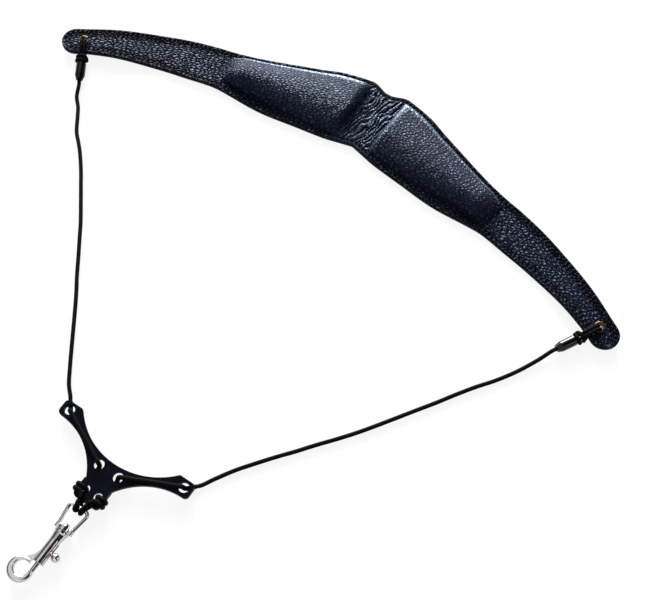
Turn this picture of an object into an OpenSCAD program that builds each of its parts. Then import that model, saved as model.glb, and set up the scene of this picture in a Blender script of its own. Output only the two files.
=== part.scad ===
/* [Band] */
// Length of one half of the neck band along its middle line
band_half = 251.5; // [240:0.5:265]
// Width of the band across the pads
pad_w = 58.6; // [55:0.2:63]
// Width of a tab where the pad ends
tab_root_w = 34.2; // [32:0.2:38]
// Width of a tab at its rounded end
tab_end_w = 22; // [21:0.5:28]
// Straight-sided stretch at the end of a tab
tab_end_l = 20; // [16:1:40]
// Depth of the notch in the top edge between the pads
notch_d = 6.7; // [4:0.1:9]
// Half length of that notch
notch_l = 15; // [12:1:24]
// Slope of the straight stretch under a pad, in degrees
pad_slope = 12.1; // [9:0.1:15]
// Length of the straight stretch before the tab bends
straight_l = 142.5; // [135:0.5:160]
// Bend radius of a tab in the plane of the band
tab_bend_r = 296; // [260:2:360]
// Flat sewn border above the pads
flange_top = 3.2; // [2.6:0.2:6]
// Flat sewn border below the pads
flange_low = 5; // [4:0.5:8]
// Belly of the lower edge below the pads
low_belly = 3; // [1:0.2:5]
// Waist of the lower edge where the pad runs out
low_waist = 1.4; // [0.4:0.2:2.4]
// Shoulder of the upper edge beside the notch
top_shoulder = 1.6; // [0.4:0.2:2.4]
// Fullness of the upper edge along the tab's root
top_root = 1.2; // [0.4:0.2:2.4]
// Thickness of the face leather
leather_t = 1.6; // [1.2:0.1:2.2]
// Thickness of the lining leather
lining_t = 1.4; // [1:0.1:2]

/* [Cushions] */
// Height of the crown over the border
crown_h = 10; // [6:0.5:13]
// Gap between the two cushions at the middle of the band
pad_gap = 27; // [20:1:36]
// Length of one cushion
pad_l = 108; // [95:1:115]
// Rounding of the cushion's inner end
pad_round = 6; // [5:0.5:10]
// How far the left cushion's inner end leans out at its lower side
pad_lean = 7; // [3:0.5:9]
// Length over which the cushion's outer end falls
pad_fade = 28; // [20:1:45]
// Length over which the cushion's lower side runs in at its outer end
pad_taper = 70; // [50:1:85]
// Rounding of the cushion's upper outer corner
pad_corner = 16; // [10:1:24]

/* [Eyelets and hitches] */
// Distance of the eyelet from the tip of the tab
eyelet_in = 17; // [15:0.5:22]
// Bore of the eyelet
eyelet_bore = 5.2; // [5:0.1:6]
// Outer diameter of the eyelet's rim
eyelet_od = 8.2; // [8:0.1:10]
// Wall of the eyelet's barrel
eyelet_wall = 0.35; // [0.3:0.05:0.5]
// Height of the eyelet's rolled rim
eyelet_rim = 0.7; // [0.5:0.1:1]
// Thickness of the washer behind the eyelet
washer_t = 0.5; // [0.4:0.1:0.8]
// Diameter of the thin hitch cord
hitch_d = 2.1; // [1.8:0.1:2.1]
// Angle of the hitch and sleeve to the band's chord, in degrees
hang_angle = 59; // [54:1:64]

/* [Sleeves] */
// Length of an end sleeve
sleeve_l = 14.6; // [12:0.2:20]
// Diameter of an end sleeve
sleeve_d = 7.6; // [7:0.1:9]
// Diameter of the sleeve's tapered mouth
sleeve_mouth_d = 5.4; // [4.8:0.1:6.5]
// Length of the taper
sleeve_taper_l = 3.6; // [2:0.2:5]
// Depth of the cord's seat in the sleeve
sleeve_seat = 6; // [4:0.5:9]
// Distance of the sleeve from the eyelet
sleeve_off = 20; // [19.5:0.5:24]

/* [Cord] */
// Diameter of the braided cord
cord_d = 2.8; // [2.4:0.1:3]

/* [Yoke] */
// Half width of the yoke plate
yoke_half_w = 54.4; // [52:0.2:58]
// Height of the arm tips above the inner holes
yoke_top = 25.4; // [24:0.2:28]
// Depth of the foot below the inner holes
yoke_foot = 25; // [24.6:0.1:25.4]
// Half width of the foot
foot_half_w = 10.4; // [10:0.1:10.8]
// Thickness of the plate
plate_t = 3.5; // [3:0.1:4]
// Radius of the arch between the arms
arch_r = 55; // [52:1:60]
// Lowest point of the arch above the inner holes
arch_y = 6.8; // [6:0.1:7.5]
// Radius of the arches between the arms and the foot
side_arch_r = 49; // [48:0.5:50]
// Diameter of the four cord holes in the arms
arm_hole_d = 7.4; // [7:0.1:7.6]
// Diameter of the two lashing holes in the foot
foot_hole_d = 6.4; // [6.2:0.1:6.8]
// Depth of the cord groove along an arm
groove_d = 0.8; // [0.4:0.1:1.2]
// Depth of the notches in the sides of the foot
foot_notch_d = 0.8; // [0.6:0.1:1.2]

/* [Swivel eye] */
// Diameter of the eye's wire
eye_wire_d = 2.6; // [2.4:0.1:2.8]
// Length of the straight bar
eye_bar_l = 8.8; // [8.6:0.1:9]
// Corner radius of the eye at the wire's middle line
eye_corner_r = 3; // [2.8:0.1:3.1]
// Lean of the eye's legs towards each other, in degrees
eye_lean = 8.5; // [8:0.5:9]
// Distance from the bar to the base of the eye
eye_h = 15.2; // [14.6:0.2:17]
// Thickness of the base
eye_base_t = 3.4; // [3:0.1:4]
// Width of the base across the feet of the legs
eye_base_w = 14.4; // [14:0.1:15]
// Height of the base's flat ends
eye_base_h = 3.6; // [3.2:0.1:4]
// Diameter of the base and of the body's collar
collar_d = 10.4; // [10:0.1:11.4]
// Diameter of the swivel stud
stud_d = 4; // [3.6:0.1:4.4]
// Diameter of the stud's head
stud_head_d = 6; // [5.6:0.1:6.6]
// Height of the stud's head
stud_head_h = 2.4; // [2:0.1:2.8]

/* [Snap hook] */
// Length of the body from collar to barrel end
body_l = 25.2; // [25:0.1:27]
// Diameter of the barrel
barrel_d = 8; // [7.6:0.1:8.4]
// Diameter of the sliding bolt
bolt_d = 3.4; // [3.2:0.1:3.6]
// Gap of the hook's mouth and travel of the bolt
mouth_h = 6.6; // [6:0.1:7]
// Radius of the hook's eye
hook_r = 5.2; // [4.8:0.1:5.4]
// Radius of the hook's outside
hook_out_r = 8.9; // [8.6:0.1:9.4]
// Thickness of the hook
hook_t = 4.6; // [4.2:0.1:5]
// Rounding of the hook's edges
hook_edge_r = 1.9; // [1.6:0.1:2.1]
// Rounding of the edges of the hook's eye
hook_in_r = 1.2; // [0.8:0.1:1.4]
// Diameter of the thumb knob
knob_d = 6.2; // [5.8:0.1:7]
// Diameter of the knob's stem
stem_d = 1.8; // [1.6:0.1:2]
// Wire of the bolt's spring
spring_wire = 0.5; // [0.4:0.05:0.5]
// Turns of the bolt's spring
spring_turns = 5; // [4:1:5]

/* [Layout] */
// Turn of the band as it lies, in degrees
band_turn = 1.6; // [0:0.2:3]
// Sideways place of the yoke
yoke_x = 4.9; // [2:0.1:8]
// Distance of the yoke's inner holes below the origin
yoke_y = 133.7; // [130:0.1:138]
// Distance of the band's middle above the origin
band_y = 198; // [195:0.5:201]
// Sideways place of the band's middle
band_x = -2; // [-4:0.5:0]

/* [Hidden] */
$fn = 48;

// Clearances: sewn layers, cushion under leather, cord in its seat, cord on a
// surface, running fit, seats of the swivel, pressed stem and butted cord ends
layer_gap = 0.05;
cushion_gap = 0.3;
seat_gap = 0.15;
lie_gap = 0.1;
run_gap = 0.06;
swivel_gap = 0.1;
press_gap = 0.02;
butt_gap = 0.3;

// Cord and table levels
cord_r = cord_d / 2;
cord_z = cord_r + 0.05;
sleeve_z = sleeve_d / 2;
hitch_r = hitch_d / 2;
strand_x = hitch_r + 0.3;

// Band: place of the pad's swell, of the tab's lift and of the rounded end of one half
pad_in = pad_gap / 2;
pad_out = pad_in + pad_l;
end_r = tab_end_w / 2;
swell_in = 20;
swell_l = 110;
belly_at = 84;
belly_l = 26;
waist_at = 127;
waist_l = 15;
shoulder_in = 30;
shoulder_l = 24;
root_at = 145;
root_l = 42;
lean_l = 40;
lift_run = 45;
lift_start = band_half - eyelet_in - eyelet_od - lift_run - 10;

// Band stations: middle, pad, tab, its lift and its rounded end
pad_steps = 10;
half_stations = concat(
    [for (i = [0:2]) pad_in * i / 3],
    [for (i = [0:pad_steps]) pad_in + pad_l * (1 - cos(180 * i / pad_steps)) / 2],
    [for (i = [1:2]) mix(pad_out, lift_start, i / 2)],
    [for (i = [1:3]) lift_start + lift_run * i / 3],
    [band_half - end_r],
    [for (i = [1:4]) band_half - end_r + end_r * sin(88 * i / 4)]
);
pad_stations = [for (i = [1:pad_steps - 1]) half_stations[3 + i]];
stations = concat(
    [for (i = [len(half_stations) - 1:-1:1]) -half_stations[i]], half_stations
);
// Pad: share of its half widths left at the outer end, and the powers of its two sides
pad_end_low = 0.3;
pad_end_top = 0.8;
low_bow = 3;
low_power = 0.75;
top_bow = 6;
top_power = 0.4;
// Pad: stretch over which the left cushion's leaning inner end comes square again
lean_out = 60;
// Lines across the band: rim, border, pad edge and up to the middle of the crown
cushion_lines = [-0.92, -0.72, -0.38, 0, 0.38, 0.72, 0.92];

// Levels at the band's lifted tab ends
tab_lift = hitch_d + washer_t + 2 * lie_gap;
face_z = lining_t + layer_gap;
eyelet_s = band_half - eyelet_in;
eyelet_at = mid_line(eyelet_s);
tab_top = tab_lift + face_z + leather_t;

// Free routes of the two cords between sleeve and yoke, lying on the table
left_route = [
    [-200, 88], [-189.5, 75.5], [-179.5, 63.5], [-168.5, 52], [-158, 40], [-148, 28],
    [-138.5, 16], [-129.5, 4.5], [-121, -7.5], [-112.5, -19.5], [-104.5, -31], [-96, -42.5],
    [-88, -54], [-72.5, -77], [-65, -88], [-57.5, -98.5]
];
right_route = [
    [200.5, 96.5], [193, 82], [184.5, 68.5], [175.5, 56.5], [167, 44], [159, 31.5],
    [150.5, 19], [134, -5.5], [125.5, -17.5], [117, -28.5], [108, -39.5],
    [99.5, -50.5], [90.5, -61.5], [82, -72.5], [73.5, -84], [66, -96]
];

// Yoke: hole places, levels and arches
tip_hole = [yoke_half_w - 6.1, yoke_top - 5.5];
inner_hole = [8, 0.9];
foot_hole = [5.2, -17.2];
plate_z = cord_d + 0.4;
plate_top = plate_z + plate_t;
front_z = plate_top + cord_r + lie_gap;
groove_z = front_z - groove_d;
back_z = cord_z;
side_arch = [yoke_half_w - 2.2, -35.1];
tip_round = 3;
horn_round = 1.6;
arch_at = [0, arch_y + arch_r];
low_round_x = yoke_half_w - tip_round;
low_round = [low_round_x, side_arch.y + leg(side_arch_r + tip_round, low_round_x - side_arch.x)];
top_round_y = yoke_top - horn_round;
top_round = [leg(arch_r + horn_round, arch_at.y - top_round_y), top_round_y];
edge_z = plate_z + plate_t / 2;
wrap_r = cord_r + 2 * lie_gap;
edge_x = foot_half_w - foot_notch_d + wrap_r;
wrap_y = [foot_hole.y, foot_hole.y - 4];

// Ring bar: place, and the round of a cord that hangs on it
hook_z = collar_d / 2 + 0.05;
bar_r = eye_wire_d / 2;
bar_y = -29.3;
loop_r = bar_r + cord_r + lie_gap;
loop_x = 2.2;

// Snap hook, measured down from the bar
base_top = eye_h;
base_end = base_top + eye_base_t;
body_top = base_end + swivel_gap;
body_end = body_top + body_l;
bolt_bore_r = bolt_d / 2 + run_gap;
stud_seat = 3.8;
spring_top = body_top + stud_seat + 0.6;
knob_u = body_end - 9;
bolt_top = knob_u - 1.6;
nose_u = body_end + mouth_h;
bolt_end = nose_u - 0.2;
hook_at = [-hook_r - 1.4, nose_u + 1.4];
hook_out_at = [hook_at.x - 0.5, hook_at.y + 1.1];
horn_r = 12;
horn_bite = 0.4;
horn_x = horn_bite - barrel_d / 2 - horn_r;
horn_reach = horn_r + hook_out_r - horn_bite;
horn_run = hook_out_at.x - horn_x;
horn_at = [horn_x, hook_out_at.y - leg(horn_reach, horn_run)];
slot_w = stem_d + 0.5;
knob_x = barrel_d / 2 + knob_d / 2 + 0.3;
spring_r = bolt_bore_r - spring_wire / 2 - 0.12;
spring_l = bolt_top - spring_top - 0.2;

function mix(a, b, t) = a + (b - a) * t;
function clamp01(t) = min(1, max(0, t));
function smooth(t) = let (c = clamp01(t)) c * c * (3 - 2 * c);
function round_in(t) = let (c = 1 - clamp01(t)) sqrt(1 - c * c);
function leg(long, short) = sqrt(long * long - short * short);
function turn(p, a) = [p.x * cos(a) - p.y * sin(a), p.x * sin(a) + p.y * cos(a)];

// Middle line of one half of the band: straight, then a circular bend
function slope(s) = pad_slope + max(0, s - straight_l) / tab_bend_r * 180 / PI;
function mid_line(s) =
    let (d = min(s, straight_l), a = slope(s))
    [d * cos(pad_slope) + tab_bend_r * (sin(a) - sin(pad_slope)),
     -d * sin(pad_slope) - tab_bend_r * (cos(pad_slope) - cos(a))];

// Half width, with the pad's swell, the tab's taper and the rounded end
function body_half(s) =
    let (taper = (s - swell_in - swell_l) / (band_half - tab_end_l - swell_in - swell_l))
    mix(tab_root_w, tab_end_w, clamp01(taper)) / 2
    + (pad_w - tab_root_w) / 2 * (1 - smooth((s - swell_in) / swell_l));
function end_round(s) =
    let (e = max(0, s - band_half + end_r) / end_r) sqrt(max(0, 1 - e * e));
function bell(s, at, spread) = exp(-pow((s - at) / spread, 2));
function lower_half(s) =
    end_round(s) * (body_half(s) + low_belly * bell(s, belly_at, belly_l)
    - low_waist * bell(s, waist_at, waist_l));
function upper_half(s) =
    end_round(s) * (body_half(s) + top_shoulder * (1 - smooth((s - shoulder_in) / shoulder_l))
    + top_root * bell(s, root_at, root_l)) - notch_d * (1 - smooth(s / notch_l));
function lean(s) = slope(s) * smooth(s / lean_l);

// Pad: half widths at a station, and the crown over the border, flatter and steeper on its upper side
function pad_low(s) =
    max(2, body_half(s) - flange_low) * mix(pad_end_low, 1, smooth((pad_out - s) / pad_taper));
function pad_top(s) =
    max(2, upper_half(s) - flange_top) * mix(pad_end_top, 1, round_in((pad_out - s) / pad_corner));
function crown(s, a) =
    crown_h * pow(max(0, 1 - pow(abs(a), a > 0 ? top_bow : low_bow)), a > 0 ? top_power : low_power)
    * round_in((s - pad_in) / pad_round) * round_in((pad_out - s) / pad_fade);

// A point of the band: station, distance across and height
function lay(s) = tab_lift * smooth((s - lift_start) / lift_run);
function band_point(s, v, z) =
    let (q = abs(s), c = mid_line(q), a = lean(q))
    [sign(s) * (c.x + v * sin(a)), c.y + v * cos(a), z + lay(q)];

// A station of the left half, moved outwards below the middle line beside the cushion's inner end
function leaning(s, v) =
    let (q = -s, down = clamp01(-v / (pad_w / 2)))
    s - (s < 0 ? pad_lean * down * smooth(q / pad_in) * (1 - smooth((q - pad_in) / lean_out)) : 0);

// Distances across the band at a station, from the lower to the upper edge
function across(s) =
    let (q = abs(s), lo = lower_half(q), up = upper_half(q))
    let (pl = min(0.9 * lo, pad_low(q)), pu = min(0.9 * up, pad_top(q)))
    concat(
        [[-lo, 1], [-mix(pl, lo, 0.4), 1], [-pl, 1]],
        [for (a = cushion_lines) [a * (a < 0 ? pl : pu), a]],
        [[pu, 1], [mix(pu, up, 0.4), 1], [up, 1]]
    );

// Smooth route through points (Catmull-Rom), n steps a span
function spline(p, n) = concat(
    [for (i = [0:len(p) - 2]) for (j = [0:n - 1])
        let (t = j / n, a = p[max(0, i - 1)], b = p[i], c = p[i + 1], d = p[min(len(p) - 1, i + 2)])
        0.5 * (2 * b + (c - a) * t + (2 * a - 5 * b + 4 * c - d) * t * t
            + (3 * b - a - 3 * c + d) * t * t * t)],
    [p[len(p) - 1]]
);
function unit(v) = v / norm(v);
function tangents(p) =
    [for (i = [0:len(p) - 1]) unit(p[min(len(p) - 1, i + 1)] - p[max(0, i - 1)])];
function square_to(n, t) = unit(n - (n * t) * t);
function first_side(t) = square_to(abs(t.z) < 0.8 ? [0, 0, 1] : [1, 0, 0], t);
function side_vectors(t) =
    [for (i = 0, n = first_side(t[0]); i < len(t);
        i = i + 1, n = i < len(t) ? square_to(n, t[i]) : n) n];

// Least gap of a tube to itself, between points at least three diameters apart along it
function run_lengths(p) =
    [for (i = 0, s = 0; i < len(p);
        i = i + 1, s = i < len(p) ? s + norm(p[i] - p[i - 1]) : s) s];
function self_gap(p, d) =
    let (s = run_lengths(p))
    min([for (i = [0:len(p) - 1]) for (j = [i + 1:1:len(p) - 1])
        if (s[j] - s[i] > 3 * d) norm(p[j] - p[i])]) - d;

// A place on the sleeve's axis, at distance d from the eyelet
function hang_point(side, d) =
    let (p = [side * (eyelet_at.x - d * cos(hang_angle)), eyelet_at.y - d * sin(hang_angle)])
    let (q = turn(p, band_turn)) [q.x + band_x, q.y + band_y];
function at_height(p, z) = [p.x, p.y, z];
function yoke_point(side, p) = [side * p.x + yoke_x, p.y - yoke_y, p.z];

// Points of a hitch: along the hang line, across it, and height
hitch_half = [
    [sleeve_off + 3, strand_x, sleeve_z], [sleeve_off - 0.5, strand_x, sleeve_z],
    [sleeve_off - 3, strand_x, sleeve_z + 0.8], [sleeve_off - 6.5, strand_x, tab_top + 0.4],
    [10.4, strand_x, tab_top + hitch_r + lie_gap],
    [4.2, strand_x, tab_top + eyelet_rim + hitch_r + 3 * lie_gap],
    [1.5, strand_x, tab_top + 1.8], [0.1, strand_x, tab_top - 0.2],
    [0, strand_x, tab_lift + 1], [0.3, strand_x, tab_lift - 0.7],
    [1.8, strand_x, hitch_r + 0.25], [5, strand_x, hitch_r + lie_gap],
    [10, strand_x, hitch_r + lie_gap], [sleeve_off - 7, strand_x + 1, hitch_r + 0.5],
    [sleeve_off - 4.6, strand_x + 2.7, sleeve_z - 0.8],
    [sleeve_off - 3, strand_x + 2.8, sleeve_z + 1.4],
    [sleeve_off - 2.4, strand_x + 1.3, sleeve_z + 3.4]
];
hitch_points = concat(
    hitch_half, [[sleeve_off - 2.3, 0, sleeve_z + 3.7]],
    [for (i = [len(hitch_half) - 1:-1:0]) [hitch_half[i].x, -hitch_half[i].y, hitch_half[i].z]]
);

// Cord on the yoke, right side: behind the tip, up, along the arm and down
tip_start = [yoke_half_w - 0.6, yoke_top + 0.8, back_z];
arm_points = [
    tip_start, [tip_hole.x + 3, tip_hole.y + 3.4, back_z],
    [tip_hole.x + 0.9, tip_hole.y + 1, back_z + 1], [tip_hole.x, tip_hole.y, edge_z],
    [tip_hole.x - 1.4, tip_hole.y - 0.6, plate_top + 0.8],
    [tip_hole.x - 4, tip_hole.y - 1.9, groove_z],
    for (t = [0.25, 0.5, 0.75])
        [mix(tip_hole.x, inner_hole.x, t), mix(tip_hole.y, inner_hole.y, t), groove_z],
    [inner_hole.x + 4, inner_hole.y + 1.9, groove_z],
    [inner_hole.x + 1.4, inner_hole.y + 0.6, plate_top + 0.8], [inner_hole.x, inner_hole.y, edge_z],
    [inner_hole.x - 0.2, inner_hole.y - 1.2, back_z + 0.8],
    [inner_hole.x, inner_hole.y - 4, back_z], [inner_hole.x + 0.3, -9, back_z]
];
wrap_start = [inner_hole.x + 0.3, -9 - butt_gap, back_z];
wrap_end = [4.1, wrap_y[0] - 4.4, back_z];
tail_start = [3.3, -25.2, front_z];

// Bend round the foot's edge in the plane y, from one face to the other
function round_edge(y, angles) =
    [for (a = angles)
        [edge_x - wrap_r + wrap_r * cos(a), y, (a < 0 ? plate_z : plate_top) + wrap_r * sin(a)]];
edge_points = concat(
    [wrap_start, [8.2, -12.4, back_z], [8.3, wrap_y[0] + 2, back_z],
     [edge_x - 2, wrap_y[0] + 0.4, back_z]],
    round_edge(wrap_y[0], [-45, -1, 0, 45, 90]),
    [[foot_hole.x + 1.8, wrap_y[0], front_z - 0.2], [foot_hole.x + 0.3, wrap_y[0], plate_top],
     [foot_hole.x, wrap_y[0], edge_z], [foot_hole.x - 0.2, wrap_y[0] - 0.4, plate_z - 0.6],
     [4.6, wrap_y[0] - 1.8, back_z + 0.1], wrap_end + [0.1, 1.4, 0], wrap_end]
);
tail_points = concat(
    [tail_start, tail_start + [0.2, 1, 0], [4.4, -22.7, front_z], [6.4, wrap_y[1] - 0.2, front_z]],
    round_edge(wrap_y[1], [90, 45, 0, -1, -45, -90]),
    [[7.6, wrap_y[1], back_z]]
);
loop_points = [
    tail_start - [0, butt_gap, 0], tail_start - [0.2, 1.3, 0],
    for (a = [90:-30:-90])
        [mix(loop_x, loop_x + 0.4, sin(a)), bar_y - loop_r * cos(a), hook_z + loop_r * sin(a)],
    [2.6, -26.4, back_z + 0.4], wrap_end - [0.1, 1.6, 0], wrap_end - [0, butt_gap, 0]
];

// Curls of the bolt's spring, eight steps a turn
spring_steps = spring_turns * 8;
spring_start = spring_top + 0.1 + spring_wire / 2;
spring_points = [
    for (i = [0:spring_steps])
        let (a = 360 * i / 8)
        [spring_r * cos(a), -spring_start - (spring_l - spring_wire) * i / spring_steps,
         spring_r * sin(a)]
];
hitch_route = spline(hitch_points, 2);
echo(hitch_self_gap = self_gap(hitch_route, hitch_d));
echo(spring_self_gap = self_gap(spring_points, spring_wire));

// Closed tube of round section along points
module tube(p, r, sides) {
    t = tangents(p);
    n = side_vectors(t);
    rings = len(p);
    points = [
        for (i = [0:rings - 1]) for (k = [0:sides - 1])
            let (b = cross(t[i], n[i]), a = 360 * k / sides)
            p[i] + r * (cos(a) * n[i] + sin(a) * b)
    ];
    walls = [
        for (i = [0:rings - 2]) for (k = [0:sides - 1])
            let (a = i * sides + k, b = i * sides + (k + 1) % sides)
            each [[a, a + sides, b], [b, a + sides, b + sides]]
    ];
    last = (rings - 1) * sides;
    caps = [
        for (k = [1:sides - 2])
            each [[0, k, k + 1], [last, last + k + 1, last + k]]
    ];
    polyhedron(points, concat(walls, caps), convexity = 6);
}

// Closed solid between two equal grids of points
module quilt(upper, lower) {
    rows = len(upper);
    cols = len(upper[0]);
    count = rows * cols;
    points = [for (g = [upper, lower]) for (row = g) each row];
    tops = [
        for (i = [0:rows - 2]) for (j = [0:cols - 2])
            let (a = i * cols + j) each [[a, a + 1, a + cols], [a + 1, a + cols + 1, a + cols]]
    ];
    unders = [for (f = tops) [f[0] + count, f[2] + count, f[1] + count]];
    ring = concat(
        [for (j = [0:cols - 1]) j], [for (i = [1:rows - 1]) i * cols + cols - 1],
        [for (j = [cols - 2:-1:0]) (rows - 1) * cols + j], [for (i = [rows - 2:-1:1]) i * cols]
    );
    rims = [
        for (k = [0:len(ring) - 1])
            let (a = ring[k], b = ring[(k + 1) % len(ring)])
            each [[a, a + count, b], [b, a + count, b + count]]
    ];
    polyhedron(points, concat(tops, unders, rims), convexity = 10);
}

module on_band() {
    translate([band_x, band_y, 0])
        rotate(band_turn)
            children();
}

module on_side(side) {
    mirror([side < 0 ? 1 : 0, 0, 0])
        children();
}

module at_eyelet(side) {
    on_band()
        on_side(side)
            translate([eyelet_at.x, eyelet_at.y, 0])
                children();
}

module eyelet_holes() {
    for (side = [-1, 1])
        on_side(side)
            translate([eyelet_at.x, eyelet_at.y, -1])
                cylinder(d = eyelet_bore + 2 * eyelet_wall + 2 * lie_gap, h = tab_top + 2);
}

// Rows of points across the band at height z, raised by the crown where wanted
function band_rows(z, crowned) = [
    for (s = stations)
        [for (c = across(s)) band_point(leaning(s, c[0]), c[0], z + (crowned ? crown(abs(s), c[1]) : 0))]
];

module band_face() {
    color("#15161b")
        on_band()
            difference() {
                quilt(band_rows(face_z + leather_t, true), band_rows(face_z, true));
                eyelet_holes();
            }
}

module band_lining() {
    color("#1b1b1f")
        on_band()
            difference() {
                quilt(
                    [for (r = band_rows(lining_t, false)) [r[0], r[6], r[12]]],
                    [for (r = band_rows(0, false)) [r[0], r[6], r[12]]]
                );
                eyelet_holes();
            }
}

module cushion(side) {
    last = len(pad_stations) - 1;
    places = [for (i = [0:last]) side * pad_stations[side > 0 ? i : last - i]];
    function row(s, under) = [
        for (j = [3:9])
            let (c = across(s)[j])
            let (z = under ? 0 : crown(abs(s), c[1]) - cushion_gap)
            band_point(leaning(s, c[0]), c[0], face_z + layer_gap + max(0, z))
    ];
    color("#3a3a3d")
        on_band()
            quilt([for (s = places) row(s, false)], [for (s = places) row(s, true)]);
}

// Rolled brass eyelet: barrel through both leathers, round rim on the face
module eyelet(side) {
    r = eyelet_bore / 2;
    out = eyelet_od / 2;
    top = tab_top + lie_gap;
    color("#b58a4a")
        at_eyelet(side)
            rotate_extrude() {
                translate([r, tab_lift - washer_t])
                    square([eyelet_wall, top + eyelet_rim - tab_lift + washer_t]);
                translate([r, top])
                    square([out - r - eyelet_rim / 2, eyelet_rim]);
                translate([out - eyelet_rim / 2, top + eyelet_rim / 2])
                    circle(d = eyelet_rim, $fn = 24);
            }
}

module washer(side) {
    color("#9c7a45")
        at_eyelet(side)
            translate([0, 0, tab_lift - washer_t])
                difference() {
                    cylinder(d = eyelet_od + 0.6, h = washer_t - lie_gap / 2);
                    translate([0, 0, -1])
                        cylinder(d = eyelet_bore + 2 * eyelet_wall + lie_gap, h = washer_t + 2);
                }
}

// Frame with +X along the hang line from the eyelet
module along_hang(side) {
    at_eyelet(side)
        rotate(180 + hang_angle)
            children();
}

module hitch(side) {
    color("#101012")
        along_hang(side)
            tube(hitch_route, hitch_r, 6);
}

module sleeve(side) {
    r = sleeve_d / 2;
    lip = 0.5;
    color("#08080a")
        along_hang(side)
            translate([sleeve_off, 0, sleeve_z])
                difference() {
                    rotate([0, 90, 0])
                        rotate_extrude()
                            polygon([
                                [0, 0], [r - lip, 0], [r, lip], [r, sleeve_l - sleeve_taper_l],
                                [sleeve_mouth_d / 2, sleeve_l], [0, sleeve_l]
                            ]);
                    translate([sleeve_l - sleeve_seat, 0, 0])
                        rotate([0, 90, 0])
                            cylinder(r = cord_r + seat_gap, h = sleeve_seat + 1);
                    for (y = [-strand_x, strand_x])
                        translate([-1, y, 0])
                            rotate([0, 90, 0])
                                cylinder(r = hitch_r + seat_gap, h = 4.5);
                }
}

// Free cord from the sleeve's seat over the table to the yoke's arm tip
module free_cord(side, route) {
    mouth = sleeve_off + sleeve_l;
    tip = yoke_point(side, tip_start);
    aim = yoke_point(side, 2 * tip_start - arm_points[1]) - tip;
    color("#0c0c0e")
        tube(
            spline(concat(
                [for (d = [0.4 - sleeve_seat, 0.5]) at_height(hang_point(side, mouth + d), sleeve_z)],
                [at_height(hang_point(side, mouth + 7), sleeve_z - 0.7)],
                [for (i = [0:len(route) - 1]) at_height(route[i], i == 0 ? cord_z + 0.6 : cord_z)],
                [tip + aim, tip + butt_gap * unit(aim)]
            ), 2),
            cord_r, 8
        );
}

module at_yoke(side) {
    translate([yoke_x, -yoke_y, 0])
        on_side(side)
            children();
}

module yoke_cord(side, points, n) {
    color("#0c0c0e")
        at_yoke(side)
            tube(spline(points, n), cord_r, 8);
}

module round_corner_block(w, h, r) {
    translate([-w, -h])
        square([2 * w, h - r]);
    translate([r - w, -h])
        square([2 * (w - r), h]);
    for (x = [r - w, w - r])
        translate([x, -r])
            circle(r);
}

// Point of an arch that faces the middle of a round beside it
function on_arch(at, r, middle) = at + (middle - at) * r / norm(middle - at);

// What a round takes off a corner: the kite from its middle to its ends and the corner
module corner_waste(middle, r, start, corner, end) {
    difference() {
        polygon([middle, start, corner, end]);
        translate(middle)
            circle(r);
    }
}

// Outline of the plate: a block cut by three arches, its arm ends rounded, with the notched foot
module yoke_outline() {
    difference() {
        translate([0, yoke_top])
            round_corner_block(yoke_half_w, yoke_top - arch_y + 20, tip_round);
        translate([0, arch_y + arch_r])
            circle(arch_r, $fn = 96);
        for (side = [-1, 1])
            on_side(side) {
                translate(side_arch)
                    circle(side_arch_r, $fn = 96);
                corner_waste(
                    low_round, tip_round, on_arch(side_arch, side_arch_r, low_round),
                    [yoke_half_w + 0.5, low_round.y - tip_round - 0.5], [yoke_half_w, low_round.y]
                );
                corner_waste(
                    top_round, horn_round, on_arch(arch_at, arch_r, top_round),
                    [top_round.x - horn_round, yoke_top + 0.5], [top_round.x, yoke_top]
                );
            }
    }
    difference() {
        translate([0, -yoke_foot])
            mirror([0, 1])
                round_corner_block(foot_half_w, yoke_foot - 11, tip_round);
        for (x = [-1, 1], y = wrap_y)
            translate([x * edge_x, y])
                circle(wrap_r);
    }
}

module yoke_plate() {
    color("#121319")
        at_yoke(1)
            difference() {
                translate([0, 0, plate_z])
                    linear_extrude(plate_t)
                        yoke_outline();
                for (side = [-1, 1])
                    on_side(side) {
                        for (p = [tip_hole, inner_hole])
                            translate([p.x, p.y, 0])
                                cylinder(d = arm_hole_d, h = plate_top + 1);
                        translate([foot_hole.x, foot_hole.y, 0])
                            cylinder(d = foot_hole_d, h = plate_top + 1);
                        arm_groove();
                    }
            }
}

// Shallow round groove for the cord, from the tip hole to the inner hole
module arm_groove() {
    d = tip_hole - inner_hole;
    translate([inner_hole.x, inner_hole.y, groove_z])
        rotate(atan2(d.y, d.x))
            rotate([0, 90, 0])
                cylinder(r = cord_r + lie_gap, h = norm(d));
}

// Frame at the ring bar: X along the bar, u down the hook, both in the table plane
module at_bar() {
    translate([yoke_x, bar_y - yoke_y, hook_z])
        children();
}

module revolve_down() {
    rotate([90, 0, 0])
        rotate_extrude()
            children();
}

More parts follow.
